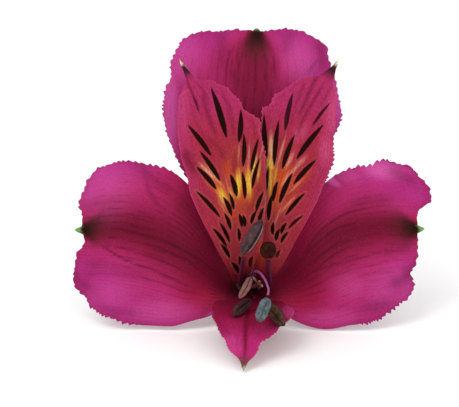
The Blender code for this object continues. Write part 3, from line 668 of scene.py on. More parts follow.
# Painted highlights and sheen as paler soft patches, some lifting the shade that neighbouring tepals cast:
# centre, half length and half width in the photograph's pixels, lean in degrees from upright, and strength.
paintedHighlightPatches = {
    "outerLeft": [
        (105, 190, 30, 26, 30, 0.3), (160, 312, 12, 30, 0, 0.35), (110, 296, 14, 26, -20, 0.2),
        (209, 315, 3, 3, 0, 0.5),
    ],
    "outerRight": [
        (382, 170, 9, 20, 10, 0.8), (345, 174, 8, 16, 20, 0.3), (331, 180, 3.5, 10, 35, 0.9),
        (392, 286, 18, 26, -20, 0.25), (330, 318, 8, 26, 0, 0.25), (350, 286, 12, 16, 0, 0.2),
    ],
    "outerTop": [
        (180, 60, 26, 18, 20, 0.35), (300, 62, 22, 16, -20, 0.4), (170, 112, 44, 8, 0, 0.75),
        (339, 106, 26, 7, -4, 0.65),
    ],
    "innerLeft": [
        (183, 104, 30, 6, -4, 0.35), (217, 108, 14, 4, -20, 0.15),
    ],
    "innerRight": [
        (334, 112, 22, 8, 10, 0.6), (326, 150, 14, 7, 0, 0.6), (300, 134, 10, 6, 30, 0.45),
    ],
    "innerLower": [
        (232, 345, 12, 7, -20, 0.6), (240, 347, 10, 4, 0, 0.4), (268, 330, 5, 12, 10, 0.3),
        (289, 312, 7, 6, 0, 0.7), (211, 314, 3, 3, 0, 0.6),
    ],
}

# A streak bows away from a middle column, its half width is a share of its given width plus a least
# one, both in pixels, and fill is the power of its taper and how full it is from start to end.
# Then a patch's edge, the steps of a stroke and the shares of it that fade at its two ends.
markForm = {"bow": 0.9, "bowMiddle": 250, "half": (0.44, 0.42), "fill": (0.72, 0.84, 0.3), "outside": -3.0,
            "patchEdge": (0.9, 1.5), "strokeSteps": 40, "strokeFade": (0.2, 0.25)}


def streakMasks(column, line, marks):
    # how far inside the nearest spindle a point lies, in millimetres, and how dark that one is:
    # a spindle's half width along it is that of a long ellipse, a little fuller at its lower end
    inside = np.full(column.shape, markForm["outside"])
    deep = np.zeros(column.shape)
    more, least = markForm["half"]
    power, thin, fuller = markForm["fill"]
    for c0, l0, c1, l1, wide, strength in marks:
        length = np.hypot(c1 - c0, l1 - l0)
        along = ((column - c0) * (c1 - c0) + (line - l0) * (l1 - l0)) / length
        off = ((column - c0) * (l1 - l0) - (line - l0) * (c1 - c0)) / length
        part = along / length
        bow = markForm["bow"] * np.sin(np.pi * np.clip(part, 0, 1)) * np.sign(c0 - markForm["bowMiddle"])
        half = (more * wide + least) * np.clip(4 * part * (1 - part), 0, 1) ** power * (thin + fuller * part)
        past = np.maximum(-along, along - length)
        depth = (half - np.abs(off + bow) - np.maximum(past, 0)) * photoView["pixelMm"]
        nearer = depth > inside
        inside = np.where(nearer, depth, inside)
        deep = np.where(nearer, strength, deep)
    return inside, deep


def lineMask(column, line, strokes):
    # soft curved strokes: the distance to a smooth line through the points, faded at both ends
    total = np.zeros(column.shape)
    fadeIn, fadeOut = markForm["strokeFade"]
    for wide, strength, points in strokes:
        places = np.linspace(0, len(points) - 1, markForm["strokeSteps"])
        route = smoothCurve(np.arange(len(points)), points, places)
        for k, (start, step) in enumerate(zip(route, np.diff(route, axis=0))):
            t = np.clip(((column - start[0]) * step[0] + (line - start[1]) * step[1]) / (step @ step), 0, 1)
            away = np.hypot(column - start[0] - t * step[0], line - start[1] - t * step[1])
            part = (k + t) / (len(route) - 1)
            fade = np.clip(part / fadeIn, 0, 1) * np.clip((1 - part) / fadeOut, 0, 1)
            total = np.maximum(total, strength * fade * bell(away, wide))
    return total


def patchMask(column, line, patches):
    # soft leaning ellipses: strength * exp(-0.9 r ^ 3), with r = 1 on the ellipse
    total = np.zeros(column.shape)
    amount, power = markForm["patchEdge"]
    for atColumn, atLine, tall, wide, lean, strength in patches:
        angle = np.radians(lean)
        right, down = column - atColumn, line - atLine
        along = down * np.cos(angle) - right * np.sin(angle)
        off = right * np.cos(angle) + down * np.sin(angle)
        near = (along / tall) ** 2 + (off / wide) ** 2
        total = np.maximum(total, strength * np.exp(-amount * near**power))
    return total


maskNames = ("pale", "edge", "wine", "warm", "orange", "band", "throat", "line", "halo", "yellow",
             "cream", "streakInside", "streakDeep", "tipBrown", "tipDark", "tipPale", "keel",
             "veinShow", "veinTurn")

# Where the colours of a tepal lie. Along a vein 0 is the claw and 1 the tip, across it 1 is the
# margin. Three numbers are an amount and where it grows or fades; two are where alone. By the band
# they are an amount and a width, as a multiple of the band's.
outerPaint = {
    "veinTurns": 62.0, "wineSoft": 0.13, "wineByBand": (0.65, 1.4), "warmByBand": (0.7, 2.2),
    "throat": (0.9, 0.15, 0.48), "lowerWine": (0.8, 0.55, 0.95), "lowerThroat": (0.7, 0.55, 0.95),
    "marginEdge": (0.92, 1), "tipEdge": (0.8, 0.965, 1), "veinsByBand": (0.6, 1.4), "veinLeast": 0.08,
    "fanMm": (0, 4), "brownMm": (0.8, 5.6), "darkMm": (0.95, 3.1), "darkStart": (-0.6, 0.3),
    "greenMm": (0.1, 0.7), "greenWide": 0.9,
}
innerPaint = {
    "veinTurns": 30.0, "haloMm": (0.22, -0.5, -0.2), "haloLines": (150, 175), "edgeLines": (0.75, 92, 150),
    "outerMargin": (0.8, 0.45, 0.95), "outerAlong": (0.45, 0.7), "warmLines": (0.9, 110, 165),
    # rim and rimAlong place a painted highlight along the margins of the upper part
    "seam": 256, "warmFromSeam": (0.7, 22, 50), "throat": (0.85, 0.2, 0.36), "rim": (0.45, 0.94, 1),
    "rimAlong": (0.4, 0.6), "veinShow": (0.35, 0.3, 0.6),
}
lowerPaint = {
    "throatLines": (0.95, 296, 326), "middle": 250, "throatAside": (0.5, 15, 40),
    "wineLines": (308, 345), "wineLean": (0.5, 240, 25), "bandWide": 0.5, "bandAlong": (0.9, 0.88, 1),
    "edge": (0.4, 0.75, 0.95), "veinShow": 0.3,
}
# the green keel's width in millimetres at the tip and what the claw adds, its strength at the claw
# and what the tip lacks
keelPaint = {"wideMm": (1.0, 1.2), "strength": (0.95, 0.55)}
# the dark part of an inner tip in millimetres from its end, then the pale point
innerTips = {
    "lower": {"darkFrom": (0.75, 0.5, 1.1), "darkTo": (1.5, 3.6), "darkWide": 1.5, "point": (0.6, 1.4)},
    "upper": {"darkFrom": (0.95, 1.1, 1.8), "darkTo": (2.6, 5.2), "darkWide": 1.7, "point": (1.1, 1.9)},
}


def outerMasks(name, shape, masks, across, v, u, fromTip):
    # band = exp(-|across / width(u)| ^ power); the other colours follow the band, the claw, the
    # margin or the distance from the tip
    paint = outerPaint
    masks["veinTurn"] = v * paint["veinTurns"]
    bandWide = smoothCurve(bandAt, shape["bandWide"], u) * np.where(v < 0, *shape["bandSkew"])
    masks["band"] = shape["bandDeep"] * bell(across, bandWide, shape["bandPower"])
    lowEdge, highEdge = shape["wineEdge"]
    wineEdge = lowEdge + (highEdge - lowEdge) * (v + 1) / 2
    downward = {"outerLeft": -v, "outerRight": v}.get(name, 0 * v)
    wine = fading(u, 1, wineEdge - paint["wineSoft"], wineEdge + paint["wineSoft"])
    wine = wine * (1 - growing(downward, *paint["lowerWine"]))
    amount, wide = paint["wineByBand"]
    masks["wine"] = np.maximum(wine, amount * bell(across, wide * bandWide, 3))
    amount, wide = paint["warmByBand"]
    masks["warm"] = amount * bell(across, wide * bandWide, 3)
    # where the throat colour lies; it is set far lighter than the bases' own dark crimson, as painted light
    # against the shade between the claws
    masks["throat"] = fading(u, *paint["throat"]) * (1 - growing(downward, *paint["lowerThroat"]))
    margins = ramp(np.abs(v), *paint["marginEdge"]) + growing(u, *paint["tipEdge"])
    masks["edge"] = shape["edgeDeep"] * margins
    amount, wide = paint["veinsByBand"]
    masks["veinShow"] = paint["veinLeast"] + amount * bell(across, wide * bandWide)
    fanStart, fanGrowth = shape["tipFan"]
    fan = bell(across, fanStart + fanGrowth * np.clip(fromTip, *paint["fanMm"]), 3)
    amount, reach = paint["brownMm"]
    masks["tipBrown"] = amount * fan * bell(fromTip, reach, 2.5)
    amount, reach = paint["darkMm"]
    masks["tipDark"] = amount * fan * bell(fromTip, reach, 2.2) * ramp(fromTip, *paint["darkStart"])
    masks["tipPale"] = ramp(-fromTip, *paint["greenMm"]) * bell(across, paint["greenWide"], 4)


def innerMasks(name, masks, column, line, v, u):
    # the two upper inner tepals: streaks and patches by their place, other colours by height
    paint = innerPaint
    masks["streakInside"], masks["streakDeep"] = streakMasks(column, line, streakMarks[name])
    for key, patches in patchMarks.items():
        masks[key] = patchMask(column, line, patches)
    masks["halo"] = growing(masks["streakInside"], *paint["haloMm"]) * ramp(line, *paint["haloLines"])
    outward = v if name == "innerRight" else -v
    side = growing(outward, *paint["outerMargin"]) * ramp(u, *paint["outerAlong"])
    masks["edge"] = np.maximum(fading(line, *paint["edgeLines"]), side)
    aside = growing(np.abs(column - paint["seam"]), *paint["warmFromSeam"])
    masks["warm"] = growing(line, *paint["warmLines"]) * (1 - aside)
    # the throat colour is set lighter than the base's own crimson, as painted light against the shade there
    masks["throat"] = fading(u, *paint["throat"])
    # a painted highlight along the margins of the upper part, in the pale colour
    rim = growing(np.abs(v), *paint["rim"]) * ramp(u, *paint["rimAlong"])
    masks["pale"] = np.maximum(masks["pale"], rim)
    masks["veinShow"] = growing(u, *paint["veinShow"])


def lowerMasks(masks, column, line, across, u):
    # the lower inner tepal: darker towards the throat, with a dark midrib
    paint = lowerPaint
    aside = growing(np.abs(column - paint["middle"]), *paint["throatAside"])
    # darker crimson towards the throat, its colour set lighter than the tissue's own as painted light against
    # the shade there
    masks["throat"] = fading(line, *paint["throatLines"]) * (1 - aside)
    start, end = paint["wineLines"]
    slope, leanFrom, most = paint["wineLean"]
    masks["wine"] = fading(line, 1, start + slope * np.clip(column - leanFrom, 0, most), end)
    masks["band"] = fading(u, *paint["bandAlong"]) * bell(across, paint["bandWide"])
    masks["edge"] = growing(u, *paint["edge"])
    masks["veinShow"] = np.full(u.shape, paint["veinShow"])


def petalMasks(name, shape, points, s, across, v, u, length):
    # how much of each colour shows at each point, from millimetres along and across the fan and,
    # for single marks, from where the point shows in the photograph's frame
    masks = {key: np.zeros(u.shape) for key in maskNames}
    column, line = photoPlane(points)
    fromTip = length * smoothCurve(reachAt, shape["reach"], np.zeros_like(v)) - s
    wide, wider = keelPaint["wideMm"]
    strong, weaker = keelPaint["strength"]
    masks["keel"] = bell(across, wide + wider * (1 - u)) * (strong - weaker * u)
    # line: dark veins and painted shade, from the strokes
    masks["line"] = lineMask(column, line, veinAndShadeStrokes[name])
    # the pale colour where the painted highlights and sheen lie
    masks["pale"] = patchMask(column, line, paintedHighlightPatches[name])
    if shape["kind"] == "outer":
        outerMasks(name, shape, masks, across, v, u, fromTip)
        return masks
    masks["veinTurn"] = v * innerPaint["veinTurns"]
    if name == "innerLower":
        lowerMasks(masks, column, line, across, u)
    else:
        innerMasks(name, masks, column, line, v, u)
    tip = innerTips["lower" if name == "innerLower" else "upper"]
    dark = growing(fromTip, *tip["darkFrom"]) * fading(fromTip, 1, *tip["darkTo"])
    masks["tipDark"] = dark * bell(across, tip["darkWide"], 4)
    masks["tipPale"] = fading(fromTip, 1, *tip["point"])
    return masks


def closedBlade(middle, thick):
    # the middle surface moved half the thickness to each side along its normal, and a rim
    along = np.gradient(middle, axis=0)
    across = np.gradient(middle, axis=1)
    shift = unit(np.cross(across, along)) * thick[..., None] / 2
    points = np.concatenate([(middle + shift).reshape(-1, 3), (middle - shift).reshape(-1, 3)])
    rows, columns = middle.shape[:2]
    index = np.arange(rows * columns).reshape(rows, columns)
    a, b = index[:-1, :-1].ravel(), index[1:, :-1].ravel()
    c, d = index[1:, 1:].ravel(), index[:-1, 1:].ravel()
    front = np.stack([a, d, c, b], 1)
    back = front[:, ::-1] + index.size
    rim = np.concatenate([index[0, :-1], index[:-1, -1], index[-1, :0:-1], index[:0:-1, 0]])
    ahead = np.roll(rim, -1)
    wall = np.stack([rim, rim + index.size, ahead + index.size, ahead], 1)
    return points, np.concatenate([front, back, wall]).tolist()


def addPiece(name, points, faces, material, masks, flat=None, sharpDegrees=None):
    # points in millimetres, and one number for each point in each mask
    mesh = bpy.data.meshes.new(name)
    mesh.from_pydata((points * metresPerMm).tolist(), [], faces)
    mesh.update()
    mesh.shade_smooth()
    if sharpDegrees is not None:
        mesh.set_sharp_from_angle(angle=np.radians(sharpDegrees))
    for key, values in masks.items():
        layer = mesh.attributes.new(key, "FLOAT", "POINT")
        layer.data.foreach_set("value", np.ascontiguousarray(values, np.float32).ravel())
    if flat is not None:
        layer = mesh.attributes.new("flat", "FLOAT_VECTOR", "POINT")
        layer.data.foreach_set("vector", np.ascontiguousarray(flat, np.float32).ravel())
    mesh.materials.append(material)
    piece = bpy.data.objects.new(name, mesh)
    bpy.context.scene.collection.objects.link(piece)
    return piece


# the amounts: cloudMm is the pitch of the soft clouds, tone and grain the brightness and its spread, rough
# the roughness; veinWander is how far the veins wander, fineVeins and glint how strongly the fine veins and
# the painted glints of bright cells show
outerLook = {
    # in each look, pale is the colour of the painted highlights, sheen and glints
    "blade": "#AC2E7A", "bladeOther": "#A02668", "pale": "#CC569E", "edge": "#8A1E58", "wine": "#A01844",
    # throat is far lighter than the bases' own dark crimson: painted light against the shade deep in the
    # throat
    "warm": "#B22C60", "band": "#5A081C", "throat": "#FA4670", "vein": "#560A20", "line": "#4E0C1E",
    "tipBrown": "#46201A", "tipDark": "#1C0E0A", "tipPale": "#6C9E58", "back": "#C98CB0", "keel": "#5E7A3A",
    "cloudMm": 9.0, "veinWander": 5.0, "fineVeins": 0.16, "glint": 0.1, "tone": 0.82, "grain": 0.14,
    "rough": 0.52,
}
innerLook = {
    "blade": "#A02840", "bladeOther": "#962238", "pale": "#C04A76", "edge": "#A42A62", "warm": "#902C34",
    # throat is lighter than the bases' own crimson: painted light against the shade in the throat
    "orange": "#B84812", "throat": "#A82434", "vein": "#7A1630", "line": "#6C1028", "halo": "#C06A58",
    "yellow": "#DCB63A", "cream": "#DC9C80", "streak": "#1C0200", "tipDark": "#301418",
    "tipPale": "#CFC79C", "back": "#C890A4", "keel": "#7A8A4A",
    "cloudMm": 5.0, "veinWander": 4.0, "fineVeins": 0.3, "glint": 0.25, "tone": 0.82, "grain": 0.24,
    "rough": 0.52,
}
lowerLook = {
    "blade": "#A42060", "bladeOther": "#9A1C54", "pale": "#BC3E80", "edge": "#B22C70", "wine": "#8C163C",
    # throat is the darker crimson by the crest, set lighter than its own as painted light against the shade
    # there
    "band": "#640A20", "throat": "#7A1030", "vein": "#741038", "line": "#6C1028", "tipDark": "#50382E",
    "tipPale": "#98A27C", "back": "#C890A4", "keel": "#7A8A4A",
    "cloudMm": 5.0, "veinWander": 3.0, "fineVeins": 0.16, "glint": 0.25, "tone": 0.95, "grain": 0.24,
    "rough": 0.52,
}

petalMaterials = {
    "outer": petalMaterial("outer tepal tissue", outerLook),
    "inner": petalMaterial("inner tepal tissue", innerLook),
    "lower": petalMaterial("lower inner tepal tissue", lowerLook),
}

for name, own in tepalShapes.items():
    kind = own["kind"]
    shape = tepalKinds[kind] | own
    u = np.linspace(0, 1, tepalForm["rows"][kind] + 1)
    even = np.linspace(-1, 1, tepalForm["columns"][kind] + 1)
    v = np.sign(even) * (1 - (1 - np.abs(even)) ** tepalForm["crowding"])  # closer near the margins
    u, v = np.meshgrid(u, v, indexing="ij")
    middle, s, across, length = tepalSurface(name, shape, u, v)
    thick = tepalForm["rimThick"] + (tepalForm["thick"] - tepalForm["rimThick"]) * (1 - v**4)
    points, faces = closedBlade(middle, thick)
    masks = petalMasks(name, shape, middle, s, across, v, u, length)
    masks = {key: np.tile(values.ravel(), 2) for key, values in masks.items()}
    masks["behind"] = np.repeat([0.0, 1.0], u.size)
    # the third number sets each tepal in another part of the noises
    flat = np.stack([across, s, np.full(s.shape, 3.0 * shape["seed"])], -1).reshape(-1, 3)
    material = petalMaterials["lower" if name == "innerLower" else kind]
    piece = addPiece("petal_" + name, placeBloom(points), faces, material, masks, np.tile(flat, (2, 1)),
                     tepalForm["sharpDegrees"])
    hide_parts(shape["node"])
    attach(piece, "root")
print("tepals made")

# a rod's step for its slope, its least radius, which way its section stands, and its lumps: how
# many waves, and the ranges that chance draws their counts, heights and phases from
rodForm = {"slopeMm": 0.05, "leastMm": 0.01, "up": (0.35, 0.2, 0.9), "lumps": 14, "waves": (2, 9),
           "turns": (1, 7), "height": (0.3, 1.0), "phase": (0.0, 6.3)}


def roundRod(path, radii, sides, rings, section=None, squash=1.0, up=rodForm["up"], lumps=0.0, seed=1):
    # a round section carried along a smooth path: the radius is a smooth curve through radii, the
    # section may have its own outline, and the ends close to a point
    knots, length = measurePath(path)
    even = np.linspace(0, 1, rings)
    s = (0.5 * even + 0.25 * (1 - np.cos(np.pi * even))) * length  # closer near both ends
    centre = smoothCurve(knots, path, s)
    step = rodForm["slopeMm"]
    forward = unit(smoothCurve(knots, path, s + step) - smoothCurve(knots, path, s - step))
    side = unit(np.cross(np.broadcast_to(up, forward.shape), forward))
    top = np.cross(forward, side)
    radius = smoothCurve(np.linspace(0, length, len(radii)), radii, s)
    angle = np.arange(sides) * 2 * np.pi / sides
    outline = np.ones((rings, sides)) if section is None else section(s[:, None] / length, angle[None, :])
    if lumps:
        rng = np.random.default_rng(seed)
        for _ in range(rodForm["lumps"]):
            waves, turns = rng.integers(*rodForm["waves"]), rng.integers(*rodForm["turns"])
            height, phase = rng.uniform(*rodForm["height"]), rng.uniform(*rodForm["phase"])
            wave = np.sin(waves * 2 * np.pi * s[:, None] / length + turns * angle[None, :] + phase)
            outline = outline + lumps * height / waves**0.5 * wave
    around = np.maximum(radius[:, None] * outline, rodForm["leastMm"])
    points = centre[:, None] + side[:, None] * (around * np.cos(angle))[..., None]
    points = points + top[:, None] * (around * np.sin(angle) * squash)[..., None]
    index = np.arange(rings * sides).reshape(rings, sides)
    ahead = np.roll(index, -1, axis=1)
    quads = np.stack([index[:-1].ravel(), ahead[:-1].ravel(), ahead[1:].ravel(), index[1:].ravel()], 1)
    caps = np.concatenate([np.stack([np.full(sides, index.size), ahead[0], index[0]], 1),
                           np.stack([np.full(sides, index.size + 1), index[-1], ahead[-1]], 1)])
    share = np.concatenate([np.repeat(s / length, sides), [0, 1]])
    turn = np.concatenate([np.tile(angle, rings), [0, 0]])
    points = np.concatenate([points.reshape(-1, 3), centre[[0, -1]]])
    return points, quads.tolist() + caps.tolist(), share, turn


# Filament: a fleshy stalk with a smooth wet skin, so a soft gloss, darker towards its base.
filamentTissue = {
    "skin": {"Roughness": 0.42, "Specular IOR Level": 0.2, "IOR": 1.4, "Subsurface Weight": 0.1,
             "Subsurface Scale": 0.0004},
    "streakMm": 0.7, "streakShare": 0.35, "reliefMm": 0.3, "bump": (0.25, 0.00008),
}


def filamentMaterial(name, tipHex, baseHex):
    tissue = filamentTissue
    material, tree, shader = newMaterial(name, tissue["skin"])
    mm = objectMm(tree)
    streaky, relief = (addNode(tree, "TexNoise", "Fac", {"Vector": mm, "Scale": 1 / pitchMm})
                       for pitchMm in (tissue["streakMm"], tissue["reliefMm"]))
    streaky = addNode(tree, "Math", 0, {0: streaky, 1: tissue["streakShare"]}, operation="MULTIPLY")
    colour = baseHex
    for amount, over in (("along", tipHex), (streaky, baseHex)):
        colour = addNode(tree, "Mix", 2, {0: amount, 6: colour, 7: over}, data_type="RGBA")
    dressShader(tree, shader, colour, relief, tissue["bump"])
    return material


# Anther: a dry pollen sac split along each side, matt and powdery. Pollen grains are near 0.04 mm
# and are drawn at 0.18 mm so that they show.
antherTissue = {
    "skin": {"Roughness": 0.85, "Specular IOR Level": 0.05},
    "blotchMm": 0.9, "blotch": (0.35, 0.65), "dustMm": 0.18, "dust": (0.3, 0.72, 0.78, 1.22),
    "bump": (0.6, 0.00012),
}


def antherMaterial(name, bodyHex, otherHex, seamHex, rimHex):
    tissue = antherTissue
    material, tree, shader = newMaterial(name, tissue["skin"])
    mm = objectMm(tree)
    blotch = addNode(tree, "TexNoise", "Fac",
                     {"Vector": mm, "Scale": 1 / tissue["blotchMm"], "Detail": 3.0})
    low, high = tissue["blotch"]
    blotch = addNode(tree, "MapRange", "Result", {"Value": blotch, "From Min": low, "From Max": high})
    dust = addNode(tree, "TexNoise", "Fac", {"Vector": mm, "Scale": 1 / tissue["dustMm"], "Detail": 1.0})
    low, high, dark, bright = tissue["dust"]
    speck = addNode(tree, "MapRange", "Result",
                    {"Value": dust, "From Min": low, "From Max": high, "To Min": dark, "To Max": bright})
    colour = bodyHex
    for amount, over in ((blotch, otherHex), ("seam", seamHex), ("lip", rimHex)):
        colour = addNode(tree, "Mix", 2, {0: amount, 6: colour, 7: over}, data_type="RGBA")
    colour = addNode(tree, "VectorMath", 0, {0: colour, "Scale": speck}, operation="SCALE")
    dressShader(tree, shader, colour, dust, tissue["bump"])
    return material


filamentTissues = {
    "dark": filamentMaterial("dark purple filament tissue", "#400A22", "#3A081C"),
    "violet": filamentMaterial("violet filament tissue", "#8C4E7E", "#5A1E48"),
}


def antherSection(along, angle):
    # two sacs side by side, each with a furrow where it splits
    sacs = 1 - 0.2 * bell(np.cos(angle), 0.22)
    split = 0.12 * bell(np.abs(np.cos(angle)) - 0.93, 0.05)
    return sacs - split * np.sin(np.pi * along)


def roundSection(along, angle):
    # an anther seen end on: nearly round all along, with one shallow furrow
    return 1 - 0.06 * bell(np.cos(angle), 0.25)


# The six stamens, with the paths of their filament and anther from the throat outwards: ring is
# where the filament starts, in degrees round the throat, size the anther's half width and half
# depth, thick the filament's radius at its base and tip. seam gives the cosine of the turn round
# the anther where its dark split lies, that of its pale lip, and the lip's strength.
stamens = [
    {"ring": 150, "filament": [(-1.1, 12, 2.0), (-1.7, 4, 2.3), (-2.0, -1, 2.6), (-1.7, -6, 4.9),
                               (-1.4, -9, 7.4)],
     "anther": [(-1.7, -9.4, 8.1), (0.3, -9.8, 11.3), (2.2, -9.2, 14.7)], "size": (1.35, 1.0),
     "thick": (0.6, 0.5), "lumps": 0.008, "seam": (0.5, 0.84, 0.9),
     "colours": ("#352628", "#4E3A3E", "#16080A", "#B09894")},
    {"ring": 30, "filament": [(1.4, 12, 2.0), (2.8, 4, 2.1), (3.7, -2, 2.2), (3.6, -6, 4.4),
                              (3.4, -8, 6.8)],
     "anther": [(3.4, -8.0, 9.0), (3.4, -10.0, 9.0), (3.4, -12.0, 8.8)], "size": (1.5, 1.66),
     "thick": (0.68, 0.6), "lumps": 0.012, "seam": (0.0, -0.9, 0.0),
     "colours": ("#160505", "#36140E", "#0C0404", "#3A1C1A"), "seamDeep": 0.0,
     "section": roundSection, "up": (0.0, 0.3, 1.0), "ends": (0.2, 0.85, 1.0, 1.02, 1.0, 0.85, 0.2)},
    {"ring": 210, "filament": [(-1.1, 12, 0.8), (-1.0, 4, 1.3), (-0.9, -2, 3.0), (-0.2, -4.2, 4.2)],
     "anther": [(0.1, -5.3, 3.7), (-0.9, -8.2, 1.6), (-2.1, -9.9, -0.2)], "size": (0.8, 0.75),
     "thick": (0.34, 0.28), "lumps": 0.03, "seam": (-0.05, -0.6, 0.5),
     "colours": ("#6C4644", "#885E58", "#2A0C0E", "#90665E")},
    {"ring": 270, "filament": [(0.2, 12, 0.3), (0.9, 4, -0.3), (1.2, 0, -0.4), (0.8, -2.4, -0.4)],
     "anther": [(0.2, -3.9, -0.8), (-1.6, -6.9, -2.0), (-3.3, -10.6, -3.4)], "size": (1.1, 0.9),
     "thick": (0.34, 0.28), "lumps": 0.02, "seam": (0.1, -0.85, 0.6),
     "colours": ("#301A1E", "#442A2C", "#160A0C", "#6E5456")},
    {"ring": 90, "filament": [(0.2, 12, 2.7), (0.8, 4, 3.6), (1.1, -3, 4.7), (2.3, -9.6, 4.1),
                              (3.1, -13, 2.6), (3.4, -14.4, 1.3), (3.2, -15.0, 0.6)],
     "anther": [(3.2, -15.6, -0.1), (2.3, -16.6, -2.2), (1.5, -17.2, -4.2)], "size": (1.16, 0.9),
     "thick": (0.3, 0.26), "lumps": 0.02, "seam": (-0.1, -0.8, 0.5),
     "colours": ("#38484A", "#62626C", "#24442C", "#7E787E"), "tissue": "violet",
     "ends": (0.5, 0.9, 1.0, 1.0, 1.0, 0.97, 0.84, 0.4)},
    {"ring": 330, "filament": [(1.3, 12, 0.8), (2.4, 4, -0.3), (3.1, -2, -0.8), (3.3, -6.0, -1.4)],
     "anther": [(3.5, -7.4, -1.8), (4.9, -11.8, -3.3), (6.3, -15.4, -5.1)], "size": (1.3, 1.0),
     "thick": (0.34, 0.28), "lumps": 0.06, "seam": (0.1, -0.8, 0.4),
     "colours": ("#34201A", "#52382C", "#1A0A0A", "#6A4E3E")},
]

# what a stamen has where it gives nothing of its own: how its anther swells from end to end, how
# its section stands, and how dark its split is
plainStamen = {"tissue": "dark", "section": antherSection, "up": (0.05, 1.0, 0.0), "seamDeep": 0.85,
               "ends": (0.2, 0.74, 0.94, 1.0, 1.0, 0.94, 0.74, 0.2)}

# sides and rings of the rods, the start and end of a filament, how flat it is, and the widths and
# reaches of the two marks on an anther
stamenForm = {
    "filamentMesh": (20, 120), "antherMesh": (72, 110), "start": (0.3, 0.32), "end": 0.8, "squash": 0.9,
    "paler": (0.25, 0.8), "seamWide": 0.16, "seamFrom": (0.05, 0.2), "lipWide": 0.07,
    "lipFrom": (0.08, 0.25), "lipTo": (0.75, 0.95),
}

for number, own in enumerate(stamens, 1):
    stamen = plainStamen | own
    thickBase, thickTip = stamen["thick"]
    path = [ringPoint(stamen["ring"], bloom["filamentRing"])] + stamen["filament"]
    radii = [*stamenForm["start"], thickBase, thickBase, thickTip, thickTip * stamenForm["end"]]
    points, faces, share, turn = roundRod(path, radii, *stamenForm["filamentMesh"],
                                          squash=stamenForm["squash"])
    piece = addPiece(f"stamen_stalk_{number}", placeBloom(points), faces,
                     filamentTissues[stamen["tissue"]], {"along": ramp(share, *stamenForm["paler"])})
    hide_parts(f"filament_{number}")
    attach(piece, "root")

    wide, deep = stamen["size"]
    points, faces, share, turn = roundRod(
        stamen["anther"], [wide * end for end in stamen["ends"]], *stamenForm["antherMesh"],
        stamen["section"], deep / wide, stamen["up"], stamen["lumps"], number)
    seamAt, lipAt, lipDeep = stamen["seam"]
    seam = stamen["seamDeep"] * bell(np.cos(turn) - seamAt, stamenForm["seamWide"])
    lipTurn = np.cos(turn) if lipAt > 0 else np.abs(np.cos(turn))
    lip = lipDeep * bell(lipTurn - np.abs(lipAt), stamenForm["lipWide"])
    lip = lip * ramp(share, *stamenForm["lipFrom"]) * fading(share, 1, *stamenForm["lipTo"])
    piece = addPiece(f"pollen_sac_{number}", placeBloom(points), faces,
                     antherMaterial(f"anther {number} pollen sac", *stamen["colours"]),
                     {"seam": seam * ramp(share, *stamenForm["seamFrom"]), "lip": lip})
    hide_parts(f"anther_{number}")
    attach(piece, "root")
print("stamens made")

# the style ends in three lobes of the stigma; radii are shares of radius and lobeRadius
styleShape = {
    "path": [bloom["clawStart"], (0.2, 12, 1.5), (0.7, 4, 1.5), (1.3, -2, 2.1), (1.6, -5.0, 2.5)],
    "lobes": [[(1.55, -4.7, 2.45), (1.0, -5.8, 3.1), (0.4, -6.4, 3.8)],
              [(1.55, -4.7, 2.45), (1.8, -6.0, 2.8), (1.6, -6.8, 3.0)],
              [(1.55, -4.7, 2.45), (2.1, -5.6, 2.2), (2.4, -6.2, 1.8)]],
    "radius": 0.34, "radii": (1.0, 1.0, 1.0, 1.0, 1.1, 0.6), "mesh": (20, 100),
    "lobeRadius": 0.24, "lobeRadii": (0.9, 1.0, 0.9, 1.15, 0.4), "lobeMesh": (16, 30), "lobeLumps": 0.03,
    "tipHex": "#8A5A54", "baseHex": "#5A1026",
}
radii = [styleShape["radius"] * part for part in styleShape["radii"]]
points, faces, share, turn = roundRod(styleShape["path"], radii, *styleShape["mesh"])
allPoints, allFaces, allAlong = [points], list(faces), [0.5 * share]
radii = [styleShape["lobeRadius"] * part for part in styleShape["lobeRadii"]]
for lobe in styleShape["lobes"]:
    base = sum(len(part) for part in allPoints)  # also the seed of this lobe's lumps
    points, faces, share, turn = roundRod(lobe, radii, *styleShape["lobeMesh"],
                                          lumps=styleShape["lobeLumps"], seed=base)
    allPoints.append(points)
    allFaces += [[i + base for i in face] for face in faces]
    allAlong.append(0.5 + 0.5 * share)
stigmaTissue = filamentMaterial("pale stigma tissue", styleShape["tipHex"], styleShape["baseHex"])
piece = addPiece("style_and_stigma", placeBloom(np.concatenate(allPoints)), allFaces, stigmaTissue,
                 {"along": np.concatenate(allAlong)})
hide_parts("style")
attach(piece, "root")
print("style made")

# The ovary runs on into the stalk. Its path is the one that doesn't lean: its heights are above the
# floor. The radii are shares of the ovary's and then of the stalk's. Ribs and grooves fade at
# ovaryEnd, a share of the whole length. groove and flush start with their strength.
stalk = {
    "path": [(0, 24.15, 4.1), (0, 26.1, 3.6), (0, 28.1, 3.08), (0.02, 30.3, 2.48), (0.1, 32.9, 1.75),
             (0.35, 36, 1.15), (1.15, 42.5, 0.98), (3.35, 53.5, 0.98), (6.95, 66.5, 0.98),
             (9.95, 75.5, 0.98)],
    "ovary": 2.5, "ovaryRadii": (1.24, 1.04, 0.98, 0.84, 0.56),
    "stalk": 1.2, "stalkRadii": (1.02, 1.0, 1.0, 1.0, 1.04),
    "mesh": (96, 240), "up": (0, 0, 1), "lumps": 0.004, "rib": 0.09, "inset": 0.04,
    "ovaryEnd": (0.16, 0.3), "groove": (0.7, 0.02, 0.07), "flush": (0.95, 0.0, 0.05),
}


def ovarySection(along, angle):
    # six rounded ribs on the ovary, fading into the round stalk
    ribs = np.abs(np.cos(3 * angle)) ** 1.5 * fading(along, 1, *stalk["ovaryEnd"])
    return 1 + stalk["rib"] * ribs - stalk["inset"]


